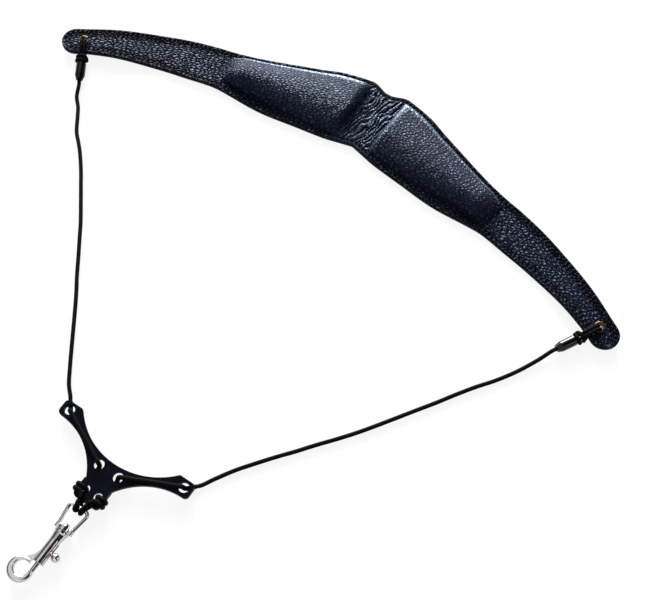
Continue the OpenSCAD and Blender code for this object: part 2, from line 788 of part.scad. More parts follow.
// D-shaped eye: bar, corners and legs of round wire on a drilled base with flat ends
module swivel_eye() {
    bend = eye_corner_r;
    leg_l = (base_top + eye_base_t / 2 - bend - bend * sin(eye_lean)) / cos(eye_lean);
    color("#c9cacc")
        at_bar()
            difference() {
                union() {
                    rotate([0, 90, 0])
                        cylinder(d = eye_wire_d, h = eye_bar_l, center = true);
                    for (side = [-1, 1])
                        on_side(side)
                            translate([eye_bar_l / 2, -bend, 0])
                                rotate(-eye_lean) {
                                    rotate_extrude(angle = 90 + eye_lean)
                                        translate([bend, 0])
                                            circle(d = eye_wire_d);
                                    translate([bend, 0, 0])
                                        rotate([90, 0, 0])
                                            cylinder(d = eye_wire_d, h = leg_l);
                                }
                    translate([0, -base_top, 0])
                        rotate([90, 0, 0])
                            linear_extrude(eye_base_t)
                                eye_base_ends();
                    revolve_down()
                        polygon([
                            [0, base_top], [collar_d / 2 - 0.6, base_top],
                            [collar_d / 2, base_top + 0.6], [collar_d / 2, base_end - 0.4],
                            [collar_d / 2 - 0.4, base_end], [0, base_end]
                        ]);
                }
                translate([0, -base_top + 2, 0])
                    rotate([90, 0, 0])
                        cylinder(d = stud_d + 2 * run_gap, h = eye_base_t + 4);
            }
}

// Bar with round ends, across the feet of the legs
module eye_base_ends() {
    x = (eye_base_w - eye_base_h) / 2;
    square([2 * x, eye_base_h], center = true);
    for (side = [-1, 1])
        translate([side * x, 0])
            circle(d = eye_base_h);
}

// Riveted stud: domed head inside the eye, shank through the base into the body
module swivel_stud() {
    r = stud_head_d / 2;
    dome = (r * r + stud_head_h * stud_head_h) / (2 * stud_head_h);
    head_u = base_top - swivel_gap;
    color("#b9babc")
        at_bar() {
            intersection() {
                translate([0, -(head_u - stud_head_h + dome), 0])
                    sphere(dome);
                translate([0, -head_u, 0])
                    rotate([-90, 0, 0])
                        cylinder(d = stud_head_d + 2, h = stud_head_h + 1);
            }
            translate([0, -head_u + 0.5, 0])
                rotate([90, 0, 0])
                    cylinder(d = stud_d, h = body_top + stud_seat - 0.2 - head_u + 0.5);
        }
}

// Web from the barrel to the round plate, with a hollow back, in (across, down)
module hook_web() {
    difference() {
        polygon([[-1, horn_at.y], horn_at, hook_out_at, [-1, body_end - 0.6]]);
        translate(horn_at)
            circle(horn_r);
    }
}

// Round plate of the hook, with rounded outer edges
module hook_disc() {
    translate([hook_out_at.x, -hook_out_at.y, 0])
        rotate_extrude($fn = 72) {
            translate([0, -hook_t / 2])
                square([hook_out_r - hook_edge_r, hook_t]);
            translate([0, hook_edge_r - hook_t / 2])
                square([hook_out_r, hook_t - 2 * hook_edge_r]);
            for (y = [hook_edge_r - hook_t / 2, hook_t / 2 - hook_edge_r])
                translate([hook_out_r - hook_edge_r, y])
                    circle(hook_edge_r, $fn = 24);
        }
}

// Eye of the hook, flaring to both faces by a round
module hook_eye() {
    half = hook_t / 2 + 0.1;
    lip = half - hook_in_r;
    translate([hook_at.x, -hook_at.y, 0])
        rotate_extrude($fn = 72)
            difference() {
                translate([0, -half])
                    square([hook_r + hook_in_r, 2 * half]);
                translate([hook_r, -lip])
                    square([hook_in_r + 1, 2 * lip]);
                for (y = [-lip, lip])
                    translate([hook_r + hook_in_r, y])
                        circle(hook_in_r, $fn = 24);
            }
}

module hook_loop() {
    hook_disc();
    mirror([0, 1, 0])
        translate([0, 0, 0.5 - hook_t / 2])
            linear_extrude(hook_t - 1)
                hook_web();
}

module hook_body() {
    collar_r = collar_d / 2;
    barrel_r = barrel_d / 2;
    color("#c4c5c8")
        at_bar()
            difference() {
                union() {
                    revolve_down()
                        polygon([
                            [0, body_top], [collar_r - 0.4, body_top], [collar_r, body_top + 0.4],
                            [collar_r, body_top + 1.6], [collar_r - 0.5, body_top + 2.4],
                            [barrel_r, body_top + 7], [barrel_r, body_end - 0.4],
                            [barrel_r - 0.4, body_end], [0, body_end]
                        ]);
                    difference() {
                        hook_loop();
                        hook_eye();
                        translate([-barrel_r - 0.5, -nose_u, -hook_t])
                            cube([barrel_d + 6, mouth_h, 2 * hook_t]);
                    }
                }
                translate([0, 1 - body_top, 0])
                    rotate([90, 0, 0])
                        cylinder(d = stud_d + 2 * press_gap, h = stud_seat + 1);
                translate([0, -spring_top, 0])
                    rotate([90, 0, 0])
                        cylinder(r = bolt_bore_r, h = body_end - spring_top + 1);
                translate([0, -knob_u - slot_w / 2, -slot_w / 2])
                    cube([barrel_d, mouth_h + slot_w, slot_w]);
            }
}

module bolt() {
    r = bolt_d / 2;
    color("#d2d3d5")
        at_bar()
            difference() {
                revolve_down()
                    polygon([
                        [0, bolt_top], [r - 0.2, bolt_top], [r, bolt_top + 0.2],
                        [r, bolt_end - 0.6], [r - 0.6, bolt_end], [0, bolt_end]
                    ]);
                translate([-0.6, -knob_u, 0])
                    rotate([0, 90, 0])
                        cylinder(d = stem_d + 2 * press_gap, h = bolt_d);
            }
}

module bolt_knob() {
    color("#dadbdd")
        at_bar()
            translate([0, -knob_u, 0]) {
                translate([-0.5, 0, 0])
                    rotate([0, 90, 0])
                        cylinder(d = stem_d, h = knob_x);
                translate([knob_x, 0, 0])
                    sphere(d = knob_d);
            }
}

module bolt_spring() {
    color("#8f9093")
        at_bar()
            tube(spring_points, spring_wire / 2, 6);
}

band_face();
band_lining();
cushion(-1);  // left_cushion
cushion(1);  // right_cushion
eyelet(-1);  // left_eyelet
eyelet(1);  // right_eyelet
washer(-1);  // left_washer
washer(1);  // right_washer
hitch(-1);  // left_hitch
hitch(1);  // right_hitch
sleeve(-1);  // left_sleeve
sleeve(1);  // right_sleeve
free_cord(-1, left_route);  // left_cord
free_cord(1, right_route);  // right_cord
yoke_plate();
yoke_cord(-1, arm_points, 2);  // left_arm_cord
yoke_cord(1, arm_points, 2);  // right_arm_cord
yoke_cord(-1, edge_points, 2);  // left_edge_wrap
yoke_cord(1, edge_points, 2);  // right_edge_wrap
yoke_cord(-1, tail_points, 2);  // left_tail_wrap
yoke_cord(1, tail_points, 2);  // right_tail_wrap
yoke_cord(-1, loop_points, 2);  // left_ring_loop
yoke_cord(1, loop_points, 2);  // right_ring_loop
swivel_eye();
swivel_stud();
hook_body();
bolt();
bolt_knob();
bolt_spring();
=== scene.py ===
"""Saxophone neck strap: leather band, braided cords, yoke and snap hook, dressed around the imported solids."""

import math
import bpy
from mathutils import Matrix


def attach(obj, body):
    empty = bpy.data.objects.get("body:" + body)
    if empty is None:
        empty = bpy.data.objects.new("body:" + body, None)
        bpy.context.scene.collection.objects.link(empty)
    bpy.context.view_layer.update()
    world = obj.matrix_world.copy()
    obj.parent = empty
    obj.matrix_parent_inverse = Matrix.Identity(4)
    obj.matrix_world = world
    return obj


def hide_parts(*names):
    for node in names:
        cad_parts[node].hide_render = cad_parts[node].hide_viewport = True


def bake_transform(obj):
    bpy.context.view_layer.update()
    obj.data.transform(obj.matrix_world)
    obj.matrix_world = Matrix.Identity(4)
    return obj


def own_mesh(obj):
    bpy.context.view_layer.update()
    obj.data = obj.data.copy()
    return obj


bl_info = {
    "name": "Saxophone neck strap",
    "version": (1, 0, 0),
    "blender": (4, 5, 0),
    "location": "View3D > Sidebar > Neck strap",
    "description": "Makes the looks of a saxophone neck strap around its packed solids",
    "category": "Object",
}

import bpy
import numpy as np
from mathutils import Vector

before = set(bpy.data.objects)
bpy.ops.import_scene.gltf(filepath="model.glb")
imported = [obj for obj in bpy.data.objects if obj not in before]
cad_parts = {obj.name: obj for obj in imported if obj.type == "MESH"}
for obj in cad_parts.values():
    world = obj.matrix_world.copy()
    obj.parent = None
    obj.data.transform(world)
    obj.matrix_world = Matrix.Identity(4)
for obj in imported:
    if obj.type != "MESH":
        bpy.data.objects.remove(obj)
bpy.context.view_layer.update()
MM = 0.001
SIDES = {"left": -1.0, "right": 1.0}

# Light of the room: tint, level and least, and lobes by their way, power of the cosine and strength
ROOM_TINT = (0.96, 0.98, 1.0)
ROOM_LEVEL = 0.10
ROOM_LEAST = 0.02
ROOM_LOBES = (
    ((-0.58, 0.76, 0.30), 28.0, 46.0),
    ((-0.42, 0.36, 0.83), 14.0, 0.85),
    ((0.48, 0.32, 0.82), 12.0, -1.30),
    ((-0.30, 0.06, 0.95), 30.0, 0.40),
    ((0.30, -0.62, 0.72), 3.0, 1.50),
    ((0.33, -0.22, 0.92), 22.0, -1.50),
    ((0.85, -0.10, 0.50), 9.0, -1.20),
)

# Soft boxes: turn from the back to the left and height in degrees, sizes in metres and watts; their distance;
# the table's own light and its depth under the part
BOXES = {
    "key_box": (38.0, 17.0, (1.6, 0.5), 16.0),
    "side_box": (-80.0, 30.0, (0.7, 0.5), 3.0),
}
BOX_REACH = 1.5
TABLE_PALE = 0.86
TABLE_DROP = 0.25 * MM

# Snap and yoke: plated nodes, and rounding of the plate's edges
NICKEL_NODES = ("swivel_eye", "swivel_stud", "hook_body", "bolt", "bolt_knob")
PLATE_ROUND = 0.35 * MM

# Eyelets: radii inside which the bore has painted shade and outside which the rim is clear, and cutter heights
BORE_PAINTED_SHADE = (3.1 * MM, 3.5 * MM)
CUT_HEIGHTS = (-2 * MM, 14 * MM)

# Grain: cells to the metre on the tabs and on the pads, and how much finer the hide lies on the pads
LOOSE_CELLS = (290, 480, 1)
TIGHT_CELLS = (420, 640, 1)
PAD_GRAIN = -0.2

# Pads: how far they run in at their outer end, their share of the width, and the powers of their crown
PAD_END_LOW, PAD_END_TOP = 0.85, 0.8
PAD_SHARE, PAD_LEAST = 0.9, 2 * MM
LOW_BOW, LOW_POWER = 2.2, 0.90
TOP_FALL, TOP_BOW, TOP_WALL = 0.50, 2.2, 40.0

# Sizes and colours that a user would change


def length(name, words, value):
    """A length property in metres, given in millimetres."""
    return bpy.props.FloatProperty(
        name=name, description=words, default=value * MM, unit="LENGTH", precision=5
    )


def angle(name, words, degrees):
    """An angle property, given in degrees."""
    return bpy.props.FloatProperty(
        name=name, description=words, default=math.radians(degrees), subtype="ANGLE", unit="ROTATION"
    )


def colour(name, words, value):
    """A linear colour property."""
    return bpy.props.FloatVectorProperty(name=name, description=words, default=value, subtype="COLOR", size=3)


def place(name, words, value):
    """A point of the frame, given in millimetres."""
    metres = tuple(x * MM for x in value)
    return bpy.props.FloatVectorProperty(
        name=name, description=words, default=metres, subtype="TRANSLATION", unit="LENGTH", size=3
    )


class BandSizes(bpy.types.PropertyGroup):
    """Sizes of the leather neck band, as on the solids but for the top border and the outer fade."""

    half: length("Half length", "Half of the band along its middle line", 251.5)
    pad_w: length("Pad width", "Width across the pads", 58.6)
    root_w: length("Tab root width", "Width of a tab where the pad ends", 34.2)
    end_w: length("Tab end width", "Width of a tab at its rounded end", 22)
    end_l: length("Tab end length", "Straight-sided stretch at the end of a tab", 20)
    notch_d: length("Notch depth", "Depth of the notch in the top edge", 6.7)
    notch_l: length("Notch length", "Half length of that notch", 15)
    slope: angle("Pad slope", "Slope of the straight stretch under a pad", 12.1)
    straight: length("Straight length", "Straight stretch before the tab bends", 142.5)
    bend_r: length("Tab bend", "Bend radius of a tab in the plane of the band", 296)
    border_top: length("Top border", "Flat sewn border above the pads", 5)
    border_low: length("Low border", "Flat sewn border below the pads", 5)
    low_belly: length("Belly", "Belly of the lower edge below the pads", 3)
    belly_at: length("Belly place", "Station of that belly", 84)
    belly_l: length("Belly spread", "Spread of that belly", 26)
    low_waist: length("Waist", "Waist of the lower edge where the pad runs out", 1.4)
    waist_at: length("Waist place", "Station of that waist", 127)
    waist_l: length("Waist spread", "Spread of that waist", 15)
    top_shoulder: length("Shoulder", "Shoulder of the upper edge beside the notch", 1.6)
    shoulder_in: length("Shoulder start", "Station where the shoulder starts to fall", 30)
    shoulder_l: length("Shoulder length", "Stretch over which the shoulder falls", 24)
    top_root: length("Root", "Fullness of the upper edge along the tab's root", 1.2)
    root_at: length("Root place", "Station of that fullness", 145)
    root_l: length("Root spread", "Spread of that fullness", 42)
    face_t: length("Face leather", "Thickness of the face leather", 1.6)
    lining_t: length("Lining leather", "Thickness of the lining leather", 1.4)
    layer_gap: length("Layer gap", "Gap between the sewn layers", 0.05)
    swell_in: length("Swell start", "Station where the pad's width starts to narrow", 20)
    swell_l: length("Swell length", "Stretch over which the pad's width narrows", 110)
    lean_l: length("Lean length", "Stretch over which the cross lines turn square to the middle line", 40)
    crown_h: length("Crown", "Height of a pad over the border", 10)
    pad_gap: length("Pad gap", "Gap between the two pads", 27)
    pad_l: length("Pad length", "Length of one pad", 108)
    pad_round: length("Inner round", "Rounding of a pad's inner end", 6)
    pad_lean: length("Pad lean", "How far the left pad's inner end leans out at its lower side", 7)
    lean_out: length("Lean stretch", "Stretch over which that end comes square again", 60)
    pad_fade: length("Outer fade", "Length over which a pad's outer end falls", 17)
    pad_taper: length("Pad taper", "Length over which a pad's lower side runs in at its outer end", 70)
    pad_corner: length("Pad corner", "Rounding of a pad's upper outer corner", 16)
    lift: length("Tab lift", "Height of the tab ends over the table", 2.8)
    lift_start: length("Lift start", "Station where a tab starts to lift", 171.3)
    lift_run: length("Lift run", "Stretch over which a tab lifts", 45)
    eyelet_in: length("Eyelet inset", "Distance of the eyelet from the tip", 17)
    hole_d: length("Eyelet hole", "Hole in the leather for the eyelet", 6.1)
    turn: angle("Turn", "Turn of the band as it lies", 1.6)
    at: place("Place", "Place of the band's middle", (-2, 198, 0))
    stitch_in: length("Seam inset", "Distance of the seam from the edge", 3.1)
    stitch_l: length("Stitch", "Length of one stitch", 2.7)
    stitch_gap: length("Stitch gap", "Gap between two stitches", 0.9)
    loop_in: length("Loop inset", "Distance of the tab's inner seam from the edge", 6.4)
    loop_l: length("Loop length", "Length of the tab's inner seam from the tip", 84)
    thread_d: length("Thread", "Thickness of the sewing thread", 0.8)
    wrinkle_h: length("Wrinkles", "Height of the wrinkles between the pads", 2.4)
    wrinkle_step: length("Wrinkle step", "Distance from one wrinkle to the next", 3.4)


class CordSizes(bpy.types.PropertyGroup):
    """Sizes of the braided cord, the hitch cord and the sleeves, as on the solids but for the fullnesses."""

    cord_d: length("Cord", "Diameter of the braided cord", 2.8)
    hitch_d: length("Hitch cord", "Diameter of the thin hitch cord", 2.1)
    hang: angle("Hang angle", "Angle of the hitch to the band's chord", 59)
    sleeve_off: length("Sleeve place", "Distance of the sleeve from the eyelet", 20)
    sleeve_l: length("Sleeve length", "Length of a sleeve", 14.6)
    sleeve_z: length("Sleeve height", "Height of the sleeve's axis", 3.8)
    seat: length("Seat", "Depth of the cord's end in the sleeve", 5.6)
    yoke_at: place("Yoke place", "Place between the yoke's inner holes", (4.9, -133.7, 0))
    relief: length("Braid relief", "Depth of the braid", 0.26)
    fuzz: length("Braid fullness", "How far the braid's strands stand out of the plain round cord", 0.12)
    lash_more: length("Lashing fullness", "Further fullness of the slack cord of the lashing", 0.2)
    wrap_more: length("Winding fullness", "Further fullness of the windings round the foot", 0.4)
    knot_more: length("Knot fullness", "Further fullness of the hitch cord in its knot", 0.5)
    plait: length("Plait", "Length of one crossing of the braid", 1.3)
    strands: bpy.props.IntProperty(
        name="Strands", description="Strands that turn each way round the braid", default=6, min=4, max=12
    )


class Looks(bpy.types.PropertyGroup):
    """Colours of the finishes."""

    leather: colour("Leather", "Face leather", (0.0085, 0.0095, 0.0270))
    # Dark end of the face leather's painted shade in grain creases, seam grooves, borders and fold valleys, and
    # of its random mottle
    leather_painted_shade_and_mottle: colour("Leather creases", "Creases of the face leather", (0.0012, 0.0015, 0.0032))
    lining: colour("Lining", "Lining leather", (0.020, 0.014, 0.012))
    thread: colour("Thread", "Sewing thread", (0.012, 0.014, 0.018))
    cord: colour("Cord", "Braided cord", (0.0010, 0.0009, 0.0011))
    sleeve: colour("Sleeve", "Sleeve plastic", (0.0015, 0.0015, 0.0024))
    yoke: colour("Yoke", "Yoke plate", (0.0009, 0.0013, 0.0038))
    nickel: colour("Nickel", "Plated metal", (0.64, 0.60, 0.59))
    brass: colour("Brass", "Eyelets and washers", (0.32, 0.19, 0.095))
    steel: colour("Steel", "Spring wire", (0.42, 0.42, 0.43))
    floor: colour("Floor", "Table top", (0.90, 0.90, 0.90))


class StageSizes(bpy.types.PropertyGroup):
    """Camera and light of the product picture."""

    target: place("Target", "Point that the camera looks at", (51.4, 52.5, 0))
    azimuth: angle("Azimuth", "Turn of the camera round the object", 34.13)
    elevation: angle("Elevation", "Height of the camera over the table", 65.75)
    distance: length("Distance", "Distance of the camera", 900)
    lens: bpy.props.FloatProperty(name="Lens", description="Focal length on a 36 mm sensor", default=70.64)
    floor_half: length("Floor", "Half width of the table top", 20000)


# Arrays and meshes


def smooth(t):
    """0 to 1 with level ends: 3 t squared minus 2 t cubed, held between 0 and 1."""
    c = np.clip(t, 0.0, 1.0)
    return c * c * (3.0 - 2.0 * c)


def round_in(t):
    """Quarter circle from 0 to 1: the root of 1 minus (1 - t) squared, held between 0 and 1."""
    c = 1.0 - np.clip(t, 0.0, 1.0)
    return np.sqrt(1.0 - c * c)


def mix(a, b, t):
    """From a to b by the share t."""
    return a + (b - a) * t


def ripple(x, y, seed, count=7):
    """Smooth noise from -1 to 1: a mean of sine waves in seeded directions, over lengths near 1."""
    rng = np.random.default_rng(seed)
    way = rng.uniform(0, 2 * np.pi, count)
    beat = rng.uniform(0.6, 1.7, count) * 2 * np.pi
    start = rng.uniform(0, 2 * np.pi, count)
    waves = np.sin(
        np.multiply.outer(x, beat * np.cos(way)) + np.multiply.outer(y, beat * np.sin(way)) + start
    )
    return waves.mean(-1) * 1.8


def new_piece(name, points, faces, uv=None):
    """A mesh object at the origin from points and faces; uv holds named maps, one pair for each point."""
    mesh = bpy.data.meshes.new(name)
    mesh.from_pydata(points, [], faces)
    mesh.shade_smooth()
    corner = np.zeros(len(mesh.loops), np.int32)
    mesh.loops.foreach_get("vertex_index", corner)
    for key, pairs in (uv or {}).items():
        layer = mesh.uv_layers.new(name=key)
        layer.uv.foreach_set("vector", np.asarray(pairs, np.float32)[corner].ravel())
    mesh.update()
    piece = bpy.data.objects.new(name, mesh)
    bpy.context.scene.collection.objects.link(piece)
    return piece


def grid_faces(rows, cols, start=0, ring=False):
    """Quads of a grid of points, rows by cols; with ring the last column joins the first."""
    i = np.arange(rows - 1)[:, None]
    j = np.arange(cols if ring else cols - 1)[None, :]
    k = (j + 1) % cols
    quads = np.stack([i * cols + j, i * cols + k, (i + 1) * cols + k, (i + 1) * cols + j], -1)
    return quads.reshape(-1, 4) + start


def fan_faces(ring, pole, flip):
    """Triangles from a closed ring of point numbers to one pole."""
    after = np.roll(ring, -1)
    pole = np.full_like(ring, pole)
    return np.stack([after, ring, pole] if flip else [ring, after, pole], -1)


def closed_sweep(name, grid, first, last, uv=None):
    """A closed surface: the rings of grid (rows, around, 3) with a pole point at each end."""
    rows, around = grid.shape[:2]
    points = np.concatenate([grid.reshape(-1, 3), [first, last]])
    count = rows * around
    ring = np.arange(around)
    faces = grid_faces(rows, around, ring=True).tolist()
    faces += fan_faces(ring, count, True).tolist()
    faces += fan_faces(ring + count - around, count + 1, False).tolist()
    maps = {}
    for key, pairs in (uv or {}).items():
        flat = pairs.reshape(-1, 2)
        maps[key] = np.concatenate([flat, flat[:1], flat[-1:]])
    return new_piece(name, points, faces, maps)


def spline(points, steps):
    """Catmull-Rom curve through points, steps to a span, with the end points doubled."""
    p = np.asarray(points, float)
    p = np.concatenate([p[:1], p, p[-1:]])
    a, b, c, d = p[:-3, None], p[1:-2, None], p[2:-1, None], p[3:, None]
    t = (np.arange(steps) / steps)[None, :, None]
    curve = 0.5 * (
        2 * b + (c - a) * t + (2 * a - 5 * b + 4 * c - d) * t**2 + (3 * b - a - 3 * c + d) * t**3
    )
    return np.concatenate([curve.reshape(-1, 3), p[-1:]])


def run_of(line):
    """Distance of each point along a line."""
    return np.concatenate([[0.0], np.cumsum(np.linalg.norm(np.diff(line, axis=0), axis=1))])


def along_line(line, at):
    """Points of a line at distances along it."""
    run = run_of(line)
    return np.stack([np.interp(at, run, line[:, k]) for k in range(3)], -1)


def even_line(line, step):
    """The same line at points about step apart."""
    whole = run_of(line)[-1]
    count = max(4, int(round(whole / step)) + 1)
    return along_line(line, np.linspace(0, whole, count))


def unit(v):
    """Vectors of length one."""
    return v / np.linalg.norm(v, axis=-1, keepdims=True)


def tube_frames(line):
    """Tangents and two square directions along a line, carried on without twist."""
    tangent = unit(np.gradient(line, axis=0))
    side = np.zeros_like(tangent)
    first = np.array([0.0, 0.0, 1.0]) if abs(tangent[0, 2]) < 0.8 else np.array([1.0, 0.0, 0.0])
    for i, t in enumerate(tangent):
        first = unit(first - (first @ t) * t)
        side[i] = first
    return tangent, side, np.cross(tangent, side)


# How far a strand of the braid rises and dips, as a share of its height
STRAND_RISE = 0.28


def braid_height(around, along, strands, plait):
    """Height of a plain braid, 0 to 1. Two sets of helices cross; each strand is a half circle across
    and goes over and under the other set by the cosine of its place along the other set."""
    turn = strands * around / (2 * np.pi)
    a = turn + along / plait
    b = turn - along / plait
    ia, ib = np.round(a), np.round(b)
    over = np.cos(np.pi * b) * (1 - 2 * (ia % 2))
    under = -np.cos(np.pi * a) * (1 - 2 * (ib % 2))
    bow_a = np.sqrt(np.clip(1 - (2 * (a - ia)) ** 2, 0, 1))
    bow_b = np.sqrt(np.clip(1 - (2 * (b - ib)) ** 2, 0, 1))
    mean = 1 - STRAND_RISE
    return np.maximum(bow_a * (mean + STRAND_RISE * over), bow_b * (mean + STRAND_RISE * under))


def braided_tube(name, line, diameter, sizes, sides=32, step=0.32 * MM, more=0.0, end_share=0.9):
    """A closed braided tube along a line: a circle whose radius follows the braid's height, drawn in at its
    ends. More is further fullness, one number or a row of numbers spread over the length."""
    line = even_line(line, step)
    along = run_of(line)
    _, n, b = tube_frames(line)
    around = np.linspace(0, 2 * np.pi, sides, endpoint=False)
    height = braid_height(around[None, :], along[:, None], sizes.strands, sizes.plait)
    end = np.minimum(along, along[-1] - along) / (0.5 * diameter)
    extra = np.interp(along / along[-1], np.linspace(0, 1, np.size(more)), np.atleast_1d(more))
    full = diameter / 2 + sizes.fuzz + extra[:, None]
    radius = (full - sizes.relief * (1 - height)) * np.maximum(end_share, round_in(end))[:, None]
    ring = np.cos(around)[None, :, None] * n[:, None, :] + np.sin(around)[None, :, None] * b[:, None, :]
    grid = line[:, None, :] + radius[..., None] * ring
    flat = np.stack(np.broadcast_arrays(around[None, :] * diameter / 2, along[:, None]), -1)
    return closed_sweep(name, grid, line[0], line[-1], {"cord": flat})


# Neck band: the formulas of the solids, on arrays of stations


def band_slope(b, s):
    """Slope of the middle line: steady, then growing with the bend."""
    return b.slope + np.maximum(0, s - b.straight) / b.bend_r


def mid_line(b, s):
    """Middle line of one half: a straight stretch, then a circular bend."""
    d = np.minimum(s, b.straight)
    a = band_slope(b, s)
    x = d * math.cos(b.slope) + b.bend_r * (np.sin(a) - math.sin(b.slope))
    y = -d * math.sin(b.slope) - b.bend_r * (math.cos(b.slope) - np.cos(a))
    return x, y


def bell(s, at, spread):
    """Bell curve, 1 at its middle: e to minus the square of the distance over the spread."""
    return np.exp(-(((s - at) / spread) ** 2))


def body_half(b, s):
    """Half width without its bulges: the tab's taper plus the pad's swell."""
    taper = (s - b.swell_in - b.swell_l) / (b.half - b.end_l - b.swell_in - b.swell_l)
    swell = (b.pad_w - b.root_w) / 2 * (1 - smooth((s - b.swell_in) / b.swell_l))
    return mix(b.root_w, b.end_w, np.clip(taper, 0, 1)) / 2 + swell


def end_round(b, s):
    """1 along the band, falling as a quarter circle to 0 at the tip."""
    end = np.maximum(0, s - b.half + b.end_w / 2) / (b.end_w / 2)
    return np.sqrt(np.maximum(0, 1 - end * end))


def low_half(b, s):
    """Half width below the middle line: body, belly and waist, times the rounded end."""
    belly = b.low_belly * bell(s, b.belly_at, b.belly_l) - b.low_waist * bell(s, b.waist_at, b.waist_l)
    return end_round(b, s) * (body_half(b, s) + belly)


def top_half(b, s):
    """Half width above the middle line: body, shoulder and root times the rounded end, less the notch."""
    shoulder = b.top_shoulder * (1 - smooth((s - b.shoulder_in) / b.shoulder_l))
    full = body_half(b, s) + shoulder + b.top_root * bell(s, b.root_at, b.root_l)
    return end_round(b, s) * full - b.notch_d * (1 - smooth(s / b.notch_l))


def pad_span(b):
    """Stations of a pad's inner and outer end."""
    return b.pad_gap / 2, b.pad_gap / 2 + b.pad_l


def pad_low(b, s):
    """Half width of a pad below the middle line: the body less its border, running in at the outer end."""
    run_in = mix(PAD_END_LOW, 1.0, smooth((pad_span(b)[1] - s) / b.pad_taper))
    half = np.maximum(PAD_LEAST, body_half(b, s) - b.border_low) * run_in
    return np.minimum(PAD_SHARE * low_half(b, s), half)


def pad_top(b, s):
    """Half width of a pad above the middle line: the band less its border, with a round outer corner."""
    corner = mix(PAD_END_TOP, 1.0, round_in((pad_span(b)[1] - s) / b.pad_corner))
    half = top_half(b, s)
    return np.minimum(PAD_SHARE * half, np.maximum(PAD_LEAST, half - b.border_top) * corner)


def across_pad(b, s, v):
    """Place across a pad, -1 to 1, of a distance v across the band."""
    return v / np.maximum(1e-6, np.where(v < 0, pad_low(b, s), pad_top(b, s)))


def crown(b, s, a):
    """Height of a pad, times its ends' rounds. Below the middle it is 1 less a power of |a|, to a power;
    above it 1 less part of a power of a, times the root of 1 less a high power of a, its steep wall."""
    inner, outer = pad_span(b)
    far = np.minimum(1, np.abs(a))
    low = (1 - far**LOW_BOW) ** LOW_POWER
    top = (1 - TOP_FALL * far**TOP_BOW) * np.sqrt(1 - far**TOP_WALL)
    bow = np.where(a > 0, top, low)
    return b.crown_h * bow * round_in((s - inner) / b.pad_round) * np.sqrt(smooth((outer - s) / b.pad_fade))


def band_point(b, s, v, z):
    """A point of the band in the shared frame from station, distance across and height."""
    q = np.abs(s)
    x, y = mid_line(b, q)
    lean = band_slope(b, q) * smooth(q / b.lean_l)
    x, y = np.sign(s) * (x + v * np.sin(lean)), y + v * np.cos(lean)
    lift = b.lift * smooth((q - b.lift_start) / b.lift_run)
    c, d = math.cos(b.turn), math.sin(b.turn)
    return np.stack(np.broadcast_arrays(x * c - y * d + b.at[0], x * d + y * c + b.at[1], z + lift), -1)


def leaning(b, s, v):
    """Stations of the left half, moved outwards below the middle line beside the pad's inner end."""
    inner, _ = pad_span(b)
    down = np.clip(-v / (b.pad_w / 2), 0, 1)
    share = smooth(-s / inner) * (1 - smooth((-s - inner) / b.lean_out))
    return s - np.where(s < 0, b.pad_lean * down * share, 0.0)


def edge_distance(b, s, v):
    """Distance of a place on the band from its edge: to the side, or to the rounded tip."""
    q = np.abs(s)
    r = b.end_w / 2
    side = np.where(v < 0, low_half(b, q) + v, top_half(b, q) - v)
    tip = r - np.hypot(np.maximum(0, q - b.half + r), v)
    return np.maximum(0, np.where(q > b.half - r, tip, side))


# Steps of the stations in the gap, over the pads' inner ends, along pads and tabs, and rows round a tip
GAP_STEP, END_STEP, PAD_STEP, TAB_STEP = 0.4 * MM, 0.45 * MM, 1.0 * MM, 1.15 * MM
END_LEAD = 2 * MM
TIP_ROWS = 20
TIP_LAST = 0.997


def band_stations(b):
    """Stations of the skin, closest in the wrinkled gap, along the pads' inner ends and at the tips."""
    inner, outer = pad_span(b)
    r = b.end_w / 2
    half = np.concatenate([
        np.arange(GAP_STEP / 2, inner - END_LEAD, GAP_STEP),
        np.arange(inner - END_LEAD, inner + b.pad_round, END_STEP),
        np.arange(inner + b.pad_round, outer, PAD_STEP),
        np.arange(outer, b.half - r, TAB_STEP),
        b.half - r + r * np.sin(np.linspace(0, TIP_LAST, TIP_ROWS) * np.pi / 2),
    ])
    return np.concatenate([-half[::-1], half])


# Columns in from an edge, drawn together where the band is narrower than their room
EDGE_STEPS = MM * np.array([
    0.0, 0.06, 0.2, 0.42, 0.75, 1.2, 1.8, 2.3, 2.6, 2.85, 3.1, 3.3, 3.5, 3.8, 4.3, 4.75, 5.0, 5.06, 5.15, 5.3,
    5.5, 5.75, 6.05, 6.4, 6.8, 7.3,
])
EDGE_ROOM = 9 * MM


def band_columns(b, s, inner_count=40):
    """Distances across the band at each station: fine steps in from both edges, even steps between."""
    low, top = low_half(b, np.abs(s)), top_half(b, np.abs(s))
    room = np.minimum(1.0, np.minimum(low, top) / EDGE_ROOM)[:, None]
    steps = EDGE_STEPS[None, :] * room
    left = -low[:, None] + steps
    right = (top[:, None] - steps)[:, ::-1]
    share = np.linspace(0, 1, inner_count + 2)[None, 1:-1]
    middle = mix(left[:, -1:], right[:, :1], share)
    return np.concatenate([left, middle, right], 1)


def rim_drop(e, thickness):
    """How far a rounded leather edge falls below its face: a quarter circle of half the thickness."""
    r = thickness / 2
    return r * (1 - round_in(e / r))


# Depth and width of the seam's dip, height and half width of the turned edge's bead, and the tabs' inner seam
SEAM_DIP, SEAM_DIP_W = 0.35 * MM, 0.55 * MM
BEAD_H, BEAD_HALF = 0.28 * MM, 1.4 * MM
TAB_SEAM_DIP, TAB_SEAM_W = 0.3 * MM, 0.6 * MM
TAB_SEAM_FADE, TAB_SEAM_ROUND = 4 * MM, 9 * MM


